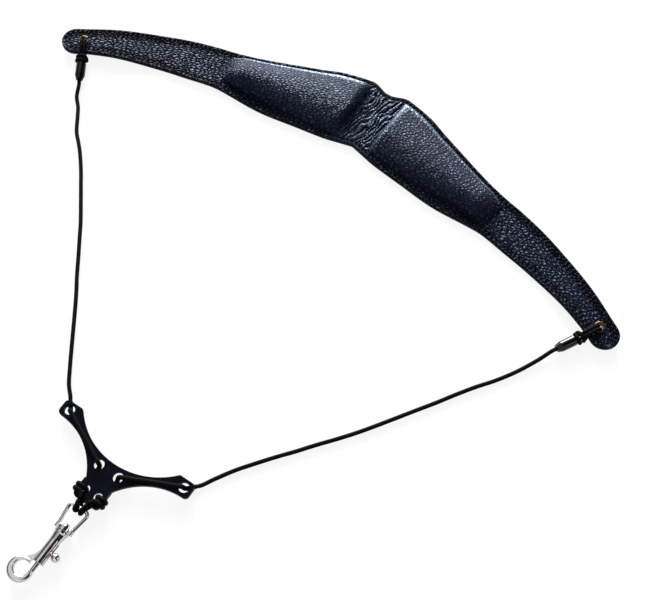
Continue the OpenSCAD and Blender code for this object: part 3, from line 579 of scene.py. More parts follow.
def seam_groove(b, e):
    """Dip of the leather along the seam, a bell curve over the thread's width, less the turned edge's
    bead outside it, half an ellipse across."""
    dip = SEAM_DIP * bell(e, b.stitch_in, SEAM_DIP_W)
    bead = BEAD_H * np.sqrt(np.clip(1 - ((e - BEAD_HALF) / BEAD_HALF) ** 2, 0, 1))
    return dip - bead


def inner_seam(b, s, e, width):
    """1 along the tabs' inner seam, a bell curve of that width over the edge distance, 0 beyond its end."""
    on_tab = smooth((np.abs(s) - b.half + b.loop_l) / TAB_SEAM_FADE)
    return bell(e, b.loop_in, width) * on_tab


def waves(s, v, rows):
    """Sum of noises, each by its strength, lengths along and across in millimetres, and seed."""
    return sum(k * ripple(s / (along * MM), v / (across * MM), seed) for k, along, across, seed in rows)


# Wrinkles of the gap: noises of their wander and strength, lean, mean height, and fades at ends and border
WRINKLE_WANDER = ((0.60, 18, 20, 3), (0.26, 7, 10, 4))
WRINKLE_STRENGTH = ((0.50, 7, 12, 5),)
WRINKLE_LEAST = 0.8
WRINKLE_LEAN = 0.26
WRINKLE_MEAN = 0.62
WRINKLE_LEAD, WRINKLE_FADE, WRINKLE_EDGE = 1.5 * MM, 3.5 * MM, 3.0 * MM


def gap_wrinkles(b, s, v):
    """Folds between the pads: rounded ridges with sharp valleys across the band, leaning and wandering
    with noise, fading at the sewn border and under the pads' sides."""
    inner, _ = pad_span(b)
    wander = waves(s, v, WRINKLE_WANDER)
    ridge = np.abs(np.sin(np.pi * ((s - WRINKLE_LEAN * v) / b.wrinkle_step + wander)))
    strength = WRINKLE_LEAST + waves(s, v, WRINKLE_STRENGTH)
    window = 1 - smooth((np.abs(s) - inner + WRINKLE_LEAD) / WRINKLE_FADE)
    inside = smooth((edge_distance(b, s, v) - b.stitch_in) / WRINKLE_EDGE)
    return b.wrinkle_h * (np.sqrt(ridge) - WRINKLE_MEAN) * strength * window * inside


# Creases of the tabs: noises, height, step, slant and place of the folds, and height of the unevenness
CREASE_WANDER = ((0.8, 15, 15, 8),)
CREASE_H, CREASE_STEP, CREASE_SLANT = 0.34 * MM, 4.6 * MM, 0.55
CREASE_IN, CREASE_SPREAD = 4 * MM, 20 * MM
UNEVEN = ((1.0, 26, 15, 9),)
UNEVEN_H, UNEVEN_FADE = 0.16 * MM, 15 * MM
CREASE_EDGE = 4 * MM


def tab_creases(b, s, v):
    """Shallow folds where a pad runs out into its tab, and soft unevenness along the tabs."""
    q = np.abs(s)
    _, outer = pad_span(b)
    near = bell(q, outer - CREASE_IN, CREASE_SPREAD)
    wander = waves(s, v, CREASE_WANDER)
    fold = np.abs(np.sin(np.pi * ((q + CREASE_SLANT * v) / CREASE_STEP + wander)))
    swell = waves(s, v, UNEVEN) * smooth((q - outer) / UNEVEN_FADE)
    inside = smooth((edge_distance(b, s, v) - b.stitch_in) / CREASE_EDGE)
    return (CREASE_H * (0.5 - fold) * near + UNEVEN_H * swell) * inside


# Cloth simulation of the pads: grid step, frames, greatest movement, share of the crown it starts from, reach
# beyond a pad's ends and across it, depth of the underside, and how much of it is free
CLOTH_STEP = 3.2 * MM
CLOTH_FRAMES = 20
CLOTH_CAP = 3.0 * MM
CLOTH_START = 0.92
CLOTH_BEFORE, CLOTH_AFTER = 6 * MM, 8 * MM
CLOTH_REACH = 1.15
CLOTH_UNDER = 1.0 * MM
CLOTH_FREE, CLOTH_HEM = 0.99, 0.5 * MM
CLOTH_SETTINGS = {
    "vertex_group_mass": "held", "quality": 8, "mass": 0.25, "tension_stiffness": 18,
    "compression_stiffness": 12, "shear_stiffness": 8, "bending_stiffness": 2.0,
    "use_pressure": True, "uniform_pressure_force": 2.5,
}


def cubic_weights(at, count):
    """Numbers of the four grid lines round each place and their cubic B-spline weights."""
    at = np.clip(at, 0, count - 1.000001)
    i = np.floor(at).astype(int)
    t = at - i
    w = np.stack([(1 - t) ** 3, 3 * t**3 - 6 * t**2 + 4, -3 * t**3 + 3 * t**2 + 3 * t + 1, t**3], -1) / 6
    lines = np.clip(np.stack([i - 1, i, i + 1, i + 2], -1), 0, count - 1)
    return lines, w


class PadCloth:
    """The leather over one pad as cloth: a closed bag over the flat border, held at its border and
    underside, swollen by pressure. What moved is kept as a smooth field over station and place across."""

    def __init__(self, b, side):
        inner, outer = pad_span(b)
        self.low, self.high = inner - CLOTH_BEFORE, outer + CLOTH_AFTER
        self.rows = int((self.high - self.low) / CLOTH_STEP) + 1
        self.cols = int(b.pad_w / CLOTH_STEP) + 5
        s = np.linspace(self.low, self.high, self.rows)[:, None]
        a = np.linspace(-CLOTH_REACH, CLOTH_REACH, self.cols)[None, :]
        v = a * np.where(a < 0, pad_low(b, s), pad_top(b, s))
        floor = b.lining_t + b.layer_gap + b.face_t
        start = CLOTH_START * crown(b, s, a)
        lying = leaning(b, side * np.broadcast_to(s, v.shape), v)
        top = band_point(b, lying, v, floor + start)
        under = band_point(b, lying, v, floor - CLOTH_UNDER + 0 * v)
        self.free = (np.abs(a) < CLOTH_FREE) & (s > inner + CLOTH_HEM) & (s < outer - CLOTH_HEM)
        self.move = self.swell(np.stack([top, under]), side)

    def swell(self, sheets, side):
        """Runs the cloth and gives how far each point of the upper sheet moved, capped."""
        rows, cols = self.rows, self.cols
        count = rows * cols
        faces = grid_faces(rows, cols)
        edge = np.concatenate([
            np.arange(cols), np.arange(2 * cols - 1, count, cols),
            np.arange(count - 2, count - cols - 1, -1), np.arange(count - 2 * cols, 0, -cols),
        ])
        after = np.roll(edge, -1)
        walls = np.stack([edge, edge + count, after + count, after], -1)
        up = faces[:, ::-1] if side > 0 else faces
        down = (faces if side > 0 else faces[:, ::-1]) + count
        walls = walls if side > 0 else walls[:, ::-1]
        bag = new_piece("pad_bag", sheets.reshape(-1, 3), np.concatenate([up, down, walls]).tolist())
        held = bag.vertex_groups.new(name="held")
        fixed = np.concatenate([np.flatnonzero(~self.free.ravel()), np.arange(count, 2 * count)])
        held.add([int(i) for i in fixed], 1.0, "REPLACE")
        cloth = bag.modifiers.new("cloth", "CLOTH").settings
        for key, value in CLOTH_SETTINGS.items():
            setattr(cloth, key, value)
        cloth.effector_weights.gravity = 0.0
        scene = bpy.context.scene
        for number in range(1, CLOTH_FRAMES + 1):
            scene.frame_set(number)
        done = bag.evaluated_get(bpy.context.evaluated_depsgraph_get()).data
        after = np.zeros(len(done.vertices) * 3)
        done.vertices.foreach_get("co", after)
        move = (after.reshape(2, rows, cols, 3) - sheets)[0] * self.free[..., None]
        far = np.linalg.norm(move, axis=-1, keepdims=True)
        move *= np.minimum(1, CLOTH_CAP / np.maximum(far, 1e-9))
        mesh = bag.data
        bpy.data.objects.remove(bag)
        bpy.data.meshes.remove(mesh)
        scene.frame_set(1)
        return move

    def moved(self, s, a):
        """The cloth's movement at stations s and places a, by cubic B-splines over its grid."""
        if self.move is None:
            return np.zeros(s.shape + (3,))
        q = np.abs(s)
        ri, rw = cubic_weights((q - self.low) / (self.high - self.low) * (self.rows - 1), self.rows)
        ci, cw = cubic_weights((a + CLOTH_REACH) / (2 * CLOTH_REACH) * (self.cols - 1), self.cols)
        field = self.move[ri[..., :, None], ci[..., None, :]]
        found = np.einsum("...i,...j,...ijk->...k", rw, cw, field)
        keep = (q > self.low) & (q < self.high) & (np.abs(a) < CLOTH_REACH)
        return found * keep[..., None]


# Finishes


class Nodes:
    """A tree of shader nodes in the making: adds nodes, sets their sockets and joins them."""

    def __init__(self, tree):
        self.tree = tree

    def put(self, socket, value):
        """Joins an output to a socket, or sets the socket to a value; a colour comes as three numbers."""
        if isinstance(value, bpy.types.NodeSocket):
            self.tree.links.new(value, socket)
        else:
            socket.default_value = (*value, 1.0) if socket.type == "RGBA" else value

    def add(self, kind, settings=None, inputs=(), **sockets):
        """A node of that kind, with settings as attributes, and inputs by number or sockets by name."""
        node = self.tree.nodes.new(kind)
        for key, value in (settings or {}).items():
            setattr(node, key, value)
        for number, value in enumerate(inputs):
            self.put(node.inputs[number], value)
        for key, value in sockets.items():
            self.put(node.inputs[key.replace("_", " ")], value)
        return node

    def math(self, operation, a, b=0.0, clamp=False):
        """One arithmetic step on two numbers or outputs."""
        settings = {"operation": operation, "use_clamp": clamp}
        return self.add("ShaderNodeMath", settings, (a, b)).outputs[0]

    def vector(self, operation, *inputs):
        """One step on vectors."""
        return self.add("ShaderNodeVectorMath", {"operation": operation}, inputs)

    def over(self, share, a, b):
        """A mix of two shaders."""
        return self.add("ShaderNodeMixShader", None, (share, a, b)).outputs[0]


class Finish(Nodes):
    """A material in the making, round one principled shader."""

    def __init__(self, name, tint, **sockets):
        self.material = bpy.data.materials.new(name)
        self.material.use_nodes = True
        self.material.diffuse_color = (*tint, 1.0)
        super().__init__(self.material.node_tree)
        self.shader = self.tree.nodes["Principled BSDF"]
        self.set(Base_Color=tint, **sockets)

    def set(self, **sockets):
        """Sets or joins sockets of the shader, and gives the material."""
        for key, value in sockets.items():
            self.put(self.shader.inputs[key.replace("_", " ")], value)
        return self.material

    def place(self, scale=(1, 1, 1), uv=None):
        """Object coordinates, or a named map, times a scale."""
        if uv:
            source = self.add("ShaderNodeUVMap", {"uv_map": uv}).outputs["UV"]
        else:
            source = self.add("ShaderNodeTexCoord").outputs["Object"]
        return self.add("ShaderNodeMapping", Vector=source, Scale=scale).outputs["Vector"]

    def pair(self, uv):
        """The two numbers of a named map."""
        source = self.add("ShaderNodeUVMap", {"uv_map": uv}).outputs["UV"]
        split = self.add("ShaderNodeSeparateXYZ", Vector=source)
        return split.outputs["X"], split.outputs["Y"]

    def remap(self, value, low, high, new_low, new_high, smooth_step=False):
        """A number moved from one range to another, held inside it."""
        kind = {"interpolation_type": "SMOOTHSTEP" if smooth_step else "LINEAR"}
        ends = {"From_Min": low, "From_Max": high, "To_Min": new_low, "To_Max": new_high}
        return self.add("ShaderNodeMapRange", kind, Value=value, **ends).outputs["Result"]

    def blend(self, share, a, b):
        """A colour between a and b."""
        node = self.add("ShaderNodeMix", {"data_type": "RGBA"})
        for number, value in ((0, share), (6, a), (7, b)):
            self.put(node.inputs[number], value)
        return node.outputs[2]

    def cells(self, vector, scale):
        """Distance from the edges of a flat pattern of cells, in cells."""
        at = self.add("ShaderNodeMapping", Vector=vector, Scale=scale).outputs["Vector"]
        kind = {"voronoi_dimensions": "2D", "feature": "DISTANCE_TO_EDGE"}
        return self.add("ShaderNodeTexVoronoi", kind, Vector=at, Scale=1.0).outputs["Distance"]

    def noise(self, place, scale, detail=3.0, roughness=0.55):
        """Fractal noise, 0 to 1."""
        node = self.add("ShaderNodeTexNoise", Vector=place, Scale=scale, Detail=detail, Roughness=roughness)
        return node.outputs["Fac"]

    def bump(self, height, depth):
        """A bump of that depth in metres."""
        return self.add("ShaderNodeBump", Height=height, Distance=depth, Strength=1.0).outputs["Normal"]


def shaded(tint, share):
    """A colour times a share."""
    return tuple(share * c for c in tint)


# Face leather: how far the cells wander, depth of the grain, and tint of its sheen
GRAIN_SHIFT = (0.0024, 0.0024, 0.0)
GRAIN_DEPTH = 0.8 * MM
SHEEN = (0.50, 0.70, 1.0)


def leather_finish(looks):
    """Pebbled leather: domed cells of 2 to 3 mm with creases between them, which wander with noise. They are
    loose and deep on the tabs, tight and flat where a pad stretches the hide, and fade along the turned edge.
    The hide map runs along and across the hide, the marks map holds edge distance and stretch, and the hollow
    map holds how far grooves, borders and valleys are darkened with painted shade, and the gloss of rims and
    folds.
    The creases between the cells are darkened with painted shade too."""
    f = Finish("face_leather", looks.leather, Specular_Tint=SHEEN)
    hide = f.place(uv="hide")
    wander = f.add("ShaderNodeTexNoise", {"noise_dimensions": "2D"}, Vector=hide, Scale=210.0, Detail=2.0)
    shifted = f.vector("MULTIPLY_ADD", wander.outputs["Color"], GRAIN_SHIFT, hide).outputs[0]
    edge, stretch = f.pair("marks")
    hollow, gloss = f.pair("hollow")
    loose = f.math("MULTIPLY", f.cells(shifted, LOOSE_CELLS), f.remap(stretch, 0.0, 1.0, 1.0, 0.0))
    tight = f.math("MULTIPLY", f.cells(shifted, TIGHT_CELLS), stretch)
    crease = f.remap(f.math("ADD", loose, tight), 0.0, 0.55, 0.0, 1.0, smooth_step=True)
    edge = f.remap(edge, 2.2 * MM, 3.8 * MM, 0.3, 1.0)
    depth = f.math("MULTIPLY", edge, f.remap(stretch, 0.0, 1.0, 1.6, 0.36))
    depth = f.math("MULTIPLY", depth, f.remap(gloss, 0.0, 1.0, 1.0, 0.3))
    fine = f.noise(f.place(), 1700.0, 2.0)
    broad = f.noise(f.place(), 38.0, 3.0)
    height = f.math("ADD", f.math("MULTIPLY", crease, depth), f.math("MULTIPLY", fine, 0.025))
    # Painted shade in the grain's creases, times a random broad mottle
    shade = f.math("MULTIPLY", f.remap(crease, 0.0, 0.6, 0.25, 1.0), f.remap(broad, 0.3, 0.7, 0.7, 1.0))
    # Painted shade of the hollow map: colour and specular fall in seam grooves, borders and fold valleys
    open_share = f.remap(hollow, 0.0, 1.0, 1.0, 0.06)
    shine = f.math("MULTIPLY", f.remap(crease, 0.0, 0.6, 0.0, 1.0), f.remap(stretch, 0.0, 1.0, 0.34, 0.26))
    shine = f.math("ADD", shine, f.remap(stretch, 0.0, 1.0, 0.01, 0.12))
    shine = f.math("MULTIPLY", shine, f.remap(gloss, 0.0, 1.0, 1.0, 7.0))
    dull = f.math("ADD", f.remap(crease, 0.0, 1.0, 0.60, 0.42), f.remap(broad, 0.3, 0.7, 0.04, -0.04))
    dull = f.math("SUBTRACT", dull, f.math("MULTIPLY", gloss, 0.12))
    return f.set(
        Normal=f.bump(height, GRAIN_DEPTH),
        Base_Color=f.blend(f.math("MULTIPLY", shade, open_share), looks.leather_painted_shade_and_mottle, looks.leather),
        Specular_IOR_Level=f.math("MULTIPLY", open_share, shine),
        Roughness=f.math("SUBTRACT", dull, f.math("MULTIPLY", stretch, 0.07)),
    )


def lining_finish(looks):
    """Smooth split leather: a short nap of fine noise over faint broad shading."""
    f = Finish("lining_leather", looks.lining, Specular_IOR_Level=0.3)
    nap = f.noise(f.place(), 2200.0)
    broad = f.remap(f.noise(f.place(), 60.0), 0.3, 0.7, 0.0, 1.0)
    return f.set(
        Base_Color=f.blend(broad, shaded(looks.lining, 0.55), looks.lining),
        Roughness=f.remap(nap, 0.3, 0.7, 0.68, 0.86), Normal=f.bump(nap, 0.09 * MM),
    )


def thread_finish(looks):
    """Twisted sewing thread: fine slanting bands along each stitch."""
    f = Finish("thread", looks.thread, Specular_IOR_Level=0.16)
    wave = f.add("ShaderNodeTexWave", {"bands_direction": "DIAGONAL"}, Vector=f.place(), Scale=900.0)
    twist = wave.outputs["Fac"]
    return f.set(
        Base_Color=f.blend(twist, shaded(looks.thread, 0.45), looks.thread),
        Roughness=f.remap(twist, 0.0, 1.0, 0.65, 0.45), Normal=f.bump(twist, 0.05 * MM),
    )


def cord_finish(looks):
    """Matt braided yarn: fine fibres along the strands and uneven depth of black."""
    f = Finish("cord", looks.cord, Specular_IOR_Level=0.05)
    fibre = f.noise(f.place((2600, 900, 1), uv="cord"), 1.0)
    broad = f.remap(f.noise(f.place(), 120.0, 2.0), 0.3, 0.7, 0.6, 1.0)
    return f.set(
        Base_Color=f.blend(f.math("MULTIPLY", fibre, broad), looks.cord, shaded(looks.cord, 2.2)),
        Roughness=f.remap(fibre, 0.3, 0.7, 0.62, 0.82), Normal=f.bump(fibre, 0.06 * MM),
    )


def sleeve_finish(looks):
    """Glossy moulded plastic with faint handling marks."""
    f = Finish("sleeve_plastic", looks.sleeve, Specular_IOR_Level=0.30)
    mark = f.noise(f.place(), 420.0, 4.0)
    return f.set(
        Base_Color=f.blend(mark, shaded(looks.sleeve, 0.7), looks.sleeve),
        Roughness=f.remap(mark, 0.35, 0.65, 0.07, 0.15),
    )


def yoke_finish(looks):
    """Satin black plate: fine blasted grain and slightly rubbed broad patches."""
    f = Finish("yoke_black", looks.yoke, Specular_IOR_Level=0.04)
    grain = f.noise(f.place(), 5200.0, 2.0)
    rub = f.noise(f.place(), 70.0, 4.0)
    return f.set(
        Base_Color=f.blend(f.remap(rub, 0.4, 0.75, 0.0, 1.0), looks.yoke, shaded(looks.yoke, 1.9)),
        Roughness=f.remap(rub, 0.3, 0.7, 0.30, 0.42), Normal=f.bump(grain, 0.01 * MM),
    )


def metal_finish(name, tint, low, high, scale, bore=None):
    """Plated or drawn metal: a clear tint whose gloss varies with smudges and fine polishing lines. A bore,
    by its middle, is darkened with painted shade within the smaller radius and clear from the larger one."""
    f = Finish(name, tint, Metallic=1.0)
    smudge = f.noise(f.place(), scale, 4.0)
    line = f.noise(f.place((1, 14, 14)), 600.0, 2.0)
    clear = f.remap(smudge, 0.35, 0.65, 0.0, 1.0)
    dull = shaded(tint, 0.82)
    if bore is not None:
        # Painted shade: within the bore's radii the colour falls nearly to black, where the rolled ring's
        # inside lies in shade
        away = f.vector("DISTANCE", f.place((1, 1, 0)), (bore[0], bore[1], 0.0)).outputs["Value"]
        clear = f.math("MULTIPLY", clear, f.remap(away, *BORE_PAINTED_SHADE, 0.0, 1.0))
        dull = shaded(tint, 0.06)
    mark = f.math("ADD", smudge, f.math("MULTIPLY", line, 0.4))
    return f.set(
        Base_Color=f.blend(clear, dull, tint),
        Roughness=f.remap(mark, 0.4, 0.95, low, high), Normal=f.bump(smudge, 0.012 * MM),
    )


def finish(piece, material):
    """Gives a piece its material."""
    piece.data.materials.clear()
    piece.data.materials.append(material)
    return piece


# Cord routes in millimetres: free runs, arms and loops as on the solids, windings a little closer to the foot

LEFT_ROUTE = [
    (-199.3, 87.3), (-192.9, 80.7), (-187.6, 73.5), (-180.2, 63.1), (-173.3, 56.6), (-166.9, 50.4),
    (-157.6, 40), (-148, 28), (-138.5, 16), (-129.5, 4.5), (-121, -7.5), (-112.5, -19.5), (-104.5, -31),
    (-96, -42.5), (-88, -54), (-72.5, -77), (-65, -88), (-57.5, -98.5),
]
RIGHT_ROUTE = [
    (200.5, 96.5), (193, 82), (184.5, 68.5), (175.5, 56.5), (167, 44), (159, 31.5), (150.5, 19),
    (134, -5.5), (125.5, -17.5), (117, -28.5), (108, -39.5), (99.5, -50.5), (90.5, -61.5),
    (82, -72.5), (73.5, -84), (66, -96),
]
TABLE_Z = 1.45
LAND_Z = 2.05
MOUTH_Z = 3.1
TIP = (53.8, 26.2, 1.45)
ARM_POINTS = [
    TIP, (51.3, 23.3, 1.45), (49.2, 20.9, 2.45), (48.3, 19.9, 4.95), (46.9, 19.3, 7.5), (44.3, 18, 7.4),
    (38.2, 15.15, 7.4), (28.15, 10.4, 7.4), (18.1, 5.65, 7.4), (12, 2.8, 7.4), (9.4, 1.5, 7.5),
    (8, 0.9, 4.95), (7.8, -0.3, 2.25), (8, -3.1, 1.45), (8.3, -9, 1.45),
]
WRAP_Y = (-17.1, -20.4)
WRAP_R = 1.6
WRAP_X = 9.3
PLATE_LOW, PLATE_TOP = 3.2, 6.7
WRAP_END = (4.1, -21.6, 1.45)
TAIL_START = (3.3, -25.2, 8.2)
BAR = (2.2, -29.3, 5.25)
LOOP_R = 2.8
LOOP_LEAN = 0.4
SHORT_SIDES = 28
HITCH_STEP = 0.28 * MM
KNOT_SPREAD = 0.12


def round_edge(y, angles):
    """The bend round the foot's edge at y: quarter circles about the plate's two corners."""
    a = np.radians(angles)
    z = np.where(a < 0, PLATE_LOW, PLATE_TOP) + WRAP_R * np.sin(a)
    return np.stack([WRAP_X + WRAP_R * np.cos(a), np.full_like(a, y), z], -1)


def edge_points():
    """The lashing from behind the foot, round its edge, down its hole and back behind."""
    y = WRAP_Y[0]
    start = [(8.3, -9, 1.45), (8.2, -12.4, 1.45), (8.3, y + 2, 1.45), (9.2, y + 0.4, 1.45)]
    finish_points = [
        (7, y, 8.0), (5.5, y, 6.7), (5.2, y, 4.95), (5, y - 0.4, 2.6), (4.6, y - 1.8, 1.55),
        (4.2, -20.2, 1.45), WRAP_END,
    ]
    return np.concatenate([start, round_edge(y, [-45, -1, 0, 45, 90]), finish_points])


def tail_points():
    """The lashing's tail from the front of the foot round its edge to its tucked end."""
    y = WRAP_Y[1]
    start = [TAIL_START, (3.5, -24.2, 8.2), (4.4, -22.7, 8.2), (6.4, y - 0.2, 8.2)]
    return np.concatenate([start, round_edge(y, [90, 45, 0, -1, -45, -90]), [(7.6, y, 1.45)]])


def loop_points():
    """The loop that hangs on the ring's bar: from the front of the foot, half round the bar, and behind."""
    a = np.radians(np.arange(90, -91, -30))
    x = BAR[0] + LOOP_LEAN * np.sin(a)
    bend = np.stack([x, BAR[1] - LOOP_R * np.cos(a), BAR[2] + LOOP_R * np.sin(a)], -1)
    back = [(2.6, -26.4, 1.85), (4.0, -23.2, 1.45), WRAP_END]
    return np.concatenate([[TAIL_START, (3.1, -26.5, 8.2)], bend, back])


def hitch_points(c):
    """Two strands over the tab and down the eyelet, back under it, and two turns round both of them at the
    tab's edge, where the solid has one bar."""
    far, x, top, low = c.sleeve_off / MM, 1.35, 5.85, 1.15
    half = [
        (far + 3, x, 3.8), (far - 0.5, x, 3.8), (far - 3, x, 4.6), (far - 6.5, x, top + 0.4),
        (10.4, x, top + 1.15), (4.2, x, top + 2.05), (1.5, x, top + 1.8), (0.1, x, top - 0.2), (0, x, 3.8),
        (0.3, x, 2.1), (1.8, x, 1.3), (5, x, low), (10, x, low), (far - 7, x + 1.2, 1.55),
    ]
    turns = [
        (far - 5.3, 3.5, 3.4), (far - 4.9, 2.7, 6.6), (far - 4.6, 0, 7.9), (far - 4.2, -2.7, 6.5),
        (far - 3.8, -3.5, 4.2), (far - 3.3, -2.4, 2.3), (far - 2.9, 0, 2.0), (far - 2.5, 2.4, 2.3),
        (far - 2.0, 3.5, 4.2), (far - 1.6, 2.6, 6.2), (far - 1.3, 0, 7.2), (far - 1.5, -2.6, 6.2),
        (far - 2.4, -3.7, 3.6), (far - 4.6, -3.5, 2.0),
    ]
    there = np.array(half, float)
    back = there[::-1] * (1, -1, 1)
    return np.concatenate([there, turns, back]) * MM


def eyelet_place(b, side):
    """The eyelet's middle in the shared frame."""
    return band_point(b, np.array(side * (b.half - b.eyelet_in)), np.array(0.0), 0.0)


def hang_line(b, c, side):
    """Unit vectors along the hitch, away from the eyelet, and across it, in the shared frame."""
    down, level = math.sin(c.hang), math.cos(c.hang)
    up, flat = math.sin(b.turn), math.cos(b.turn)
    turn = np.array([[flat, -up, 0], [up, flat, 0], [0, 0, 1]])
    return turn @ np.array([-side * level, -down, 0.0]), turn @ np.array([side * down, -level, 0.0])


def eyelet_axis_point(b, c, side, distance, z):
    """A place on the sleeve's axis at a distance from the eyelet and a height."""
    along, _ = hang_line(b, c, side)
    flat = eyelet_place(b, side) * (1, 1, 0)
    return flat + along * distance + np.array([0, 0, z])


def at_yoke(c, points, side):
    """Points beside the yoke, given in millimetres for the right side, in the shared frame."""
    return np.asarray(points, float) * (side, 1, 1) * MM + np.array(c.yoke_at)


def free_route(b, c, side):
    """Control points of a free cord: out of the sleeve, down on the table, and to the yoke's arm tip."""
    mouth = c.sleeve_off + c.sleeve_l
    route = np.array(LEFT_ROUTE if side < 0 else RIGHT_ROUTE, float)
    heights = np.full(len(route), TABLE_Z)
    heights[0] = LAND_Z
    tip = at_yoke(c, [TIP, ARM_POINTS[1]], side)
    return np.concatenate([
        [eyelet_axis_point(b, c, side, mouth - c.seat, c.sleeve_z)],
        [eyelet_axis_point(b, c, side, mouth + 0.5 * MM, c.sleeve_z)],
        [eyelet_axis_point(b, c, side, mouth + 5 * MM, MOUTH_Z * MM)],
        np.column_stack([route, heights]) * MM,
        [2 * tip[0] - tip[1], tip[0]],
    ])


# Operators, one for each piece or group of like pieces


class STRAP_OT_stage(bpy.types.Operator):
    """Makes the table, the soft light and the camera"""

    bl_idname = "strap.stage"
    bl_label = "Stage"

    def execute(self, context):
        looks, stage = context.scene.strap_looks, context.scene.strap_stage
        self.camera(context.scene, stage)
        self.floor(looks, stage)
        self.world(context.scene)
        self.lamps(stage)
        context.scene.view_settings.view_transform = "Standard"
        return {"FINISHED"}

    def camera(self, scene, stage):
        """The camera on a sphere round its target, level, looking at it."""
        a, e = stage.azimuth, stage.elevation
        back = Vector((math.sin(a) * math.cos(e), -math.cos(a) * math.cos(e), math.sin(e)))
        data = bpy.data.cameras.new("camera")
        data.lens = stage.lens
        data.sensor_width = 36.0
        data.clip_start, data.clip_end = 0.01, 50.0
        camera = bpy.data.objects.new("camera", data)
        camera.location = Vector(stage.target) + back * stage.distance
        camera.rotation_euler = (-back).to_track_quat("-Z", "Y").to_euler()
        scene.collection.objects.link(camera)
        scene.camera = camera

    def floor(self, looks, stage):
        """A white table that keeps the object's shadow, and is clear from below."""
        h, z = stage.floor_half, -TABLE_DROP
        corners = [(-h, -h, z), (h, -h, z), (h, h, z), (-h, h, z)]
        floor = new_piece("table", corners, [(0, 1, 2, 3)])
        f = Finish("table_white", looks.floor, Roughness=0.9, Specular_IOR_Level=0.0)
        light = f.add("ShaderNodeLightPath")
        seen = f.math("ADD", light.outputs["Is Camera Ray"], light.outputs["Is Glossy Ray"], clamp=True)
        seen = f.math("ADD", seen, light.outputs["Is Transmission Ray"], clamp=True)
        glow = f.add("ShaderNodeEmission", Strength=1.0).outputs[0]
        pale = f.over(f.math("MULTIPLY", seen, TABLE_PALE), f.shader.outputs[0], glow)
        below = f.add("ShaderNodeNewGeometry").outputs["Backfacing"]
        clear = f.over(below, pale, f.add("ShaderNodeBsdfTransparent").outputs[0])
        f.put(f.tree.nodes["Material Output"].inputs["Surface"], clear)
        finish(floor, f.material)

    def world(self, scene):
        """A studio lit from behind on the left: a dim room plus lobes, each a power of the cosine to its
        way, times a strength, and never darker than the least."""
        world = bpy.data.worlds.new("studio")
        world.use_nodes = True
        scene.world = world
        f = Nodes(world.node_tree)
        f.tree.nodes.clear()
        ray = f.add("ShaderNodeTexCoord").outputs["Generated"]
        total = ROOM_LEVEL
        for way, power, strength in ROOM_LOBES:
            cosine = f.vector("DOT_PRODUCT", ray, Vector(way).normalized()).outputs["Value"]
            lobe = f.math("POWER", f.math("MAXIMUM", cosine, 0.0), power)
            total = f.math("ADD", f.math("MULTIPLY", lobe, strength), total)
        level = f.math("MAXIMUM", total, ROOM_LEAST)
        room = f.add("ShaderNodeBackground", Color=ROOM_TINT, Strength=level)
        f.add("ShaderNodeOutputWorld", Surface=room.outputs[0])

    def lamps(self, stage):
        """Soft boxes round the table, which look at the camera's target."""
        for name, (turn, height, size, watts) in BOXES.items():
            t, h = math.radians(turn), math.radians(height)
            way = Vector((-math.sin(t) * math.cos(h), math.cos(t) * math.cos(h), math.sin(h)))
            data = bpy.data.lights.new(name, "AREA")
            data.shape = "RECTANGLE"
            data.size, data.size_y = size
            data.energy = watts
            lamp = bpy.data.objects.new(name, data)
            lamp.location = Vector(stage.target) + way * BOX_REACH
            lamp.rotation_euler = (-way).to_track_quat("-Z", "Y").to_euler()
            bpy.context.scene.collection.objects.link(lamp)


class STRAP_OT_cords(bpy.types.Operator):
    """Braids the two free cords from the sleeves to the yoke"""

    bl_idname = "strap.cords"
    bl_label = "Free cords"

    def execute(self, context):
        b, c = context.scene.strap_band, context.scene.strap_cords
        material = cord_finish(context.scene.strap_looks)
        for name, side in SIDES.items():
            points = free_route(b, c, side)
            line = spline(points, 12)
            piece = braided_tube(f"{name}_braided_cord", line, c.cord_d, c)
            finish(piece, material)
            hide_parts(f"{name}_cord")
            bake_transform(piece)
        return {"FINISHED"}


class STRAP_OT_lashing(bpy.types.Operator):
    """Braids the cord on the yoke: along the arms, round the foot and down to the ring"""

    bl_idname = "strap.lashing"
    bl_label = "Lashing"

    def execute(self, context):
        c = context.scene.strap_cords
        material = cord_finish(context.scene.strap_looks)
        runs = {"arm_cord": ARM_POINTS, "edge_wrap": edge_points(), "tail_wrap": tail_points()}
        for name, side in SIDES.items():
            for run, points in runs.items():
                line = spline(at_yoke(c, points, side), 10)
                more = c.lash_more if run == "arm_cord" else c.wrap_more
                piece = braided_tube(f"{name}_braided_{run}", line, c.cord_d, c, SHORT_SIDES, more=more)
                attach(finish(piece, material), "yoke")
                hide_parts(f"{name}_{run}")
            line = spline(at_yoke(c, loop_points(), side), 10)
            loop = braided_tube(f"{name}_braided_loop", line, c.cord_d, c, SHORT_SIDES, more=c.lash_more)
            finish(loop, material)
            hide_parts(f"{name}_ring_loop")
            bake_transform(loop)
        return {"FINISHED"}


class STRAP_OT_hitches(bpy.types.Operator):
    """Lays the thin hitch cords through the eyelets"""

    bl_idname = "strap.hitches"
    bl_label = "Hitches"

    def execute(self, context):
        b, c = context.scene.strap_band, context.scene.strap_cords
        material = cord_finish(context.scene.strap_looks)
        for name, side in SIDES.items():
            along, across = hang_line(b, c, side)
            p = spline(hitch_points(c), 10)
            flat = eyelet_place(b, side) * (1, 1, 0)
            line = flat + p[:, :1] * along + p[:, 1:2] * across + p[:, 2:] * np.array([0, 0, 1.0])
            more = c.knot_more * bell(np.linspace(0, 1, 60), 0.5, KNOT_SPREAD)
            piece = braided_tube(f"{name}_hitch_cord", line, c.hitch_d, c, SHORT_SIDES, HITCH_STEP, more)
            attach(finish(piece, material), "strap")
            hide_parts(f"{name}_hitch")
        return {"FINISHED"}
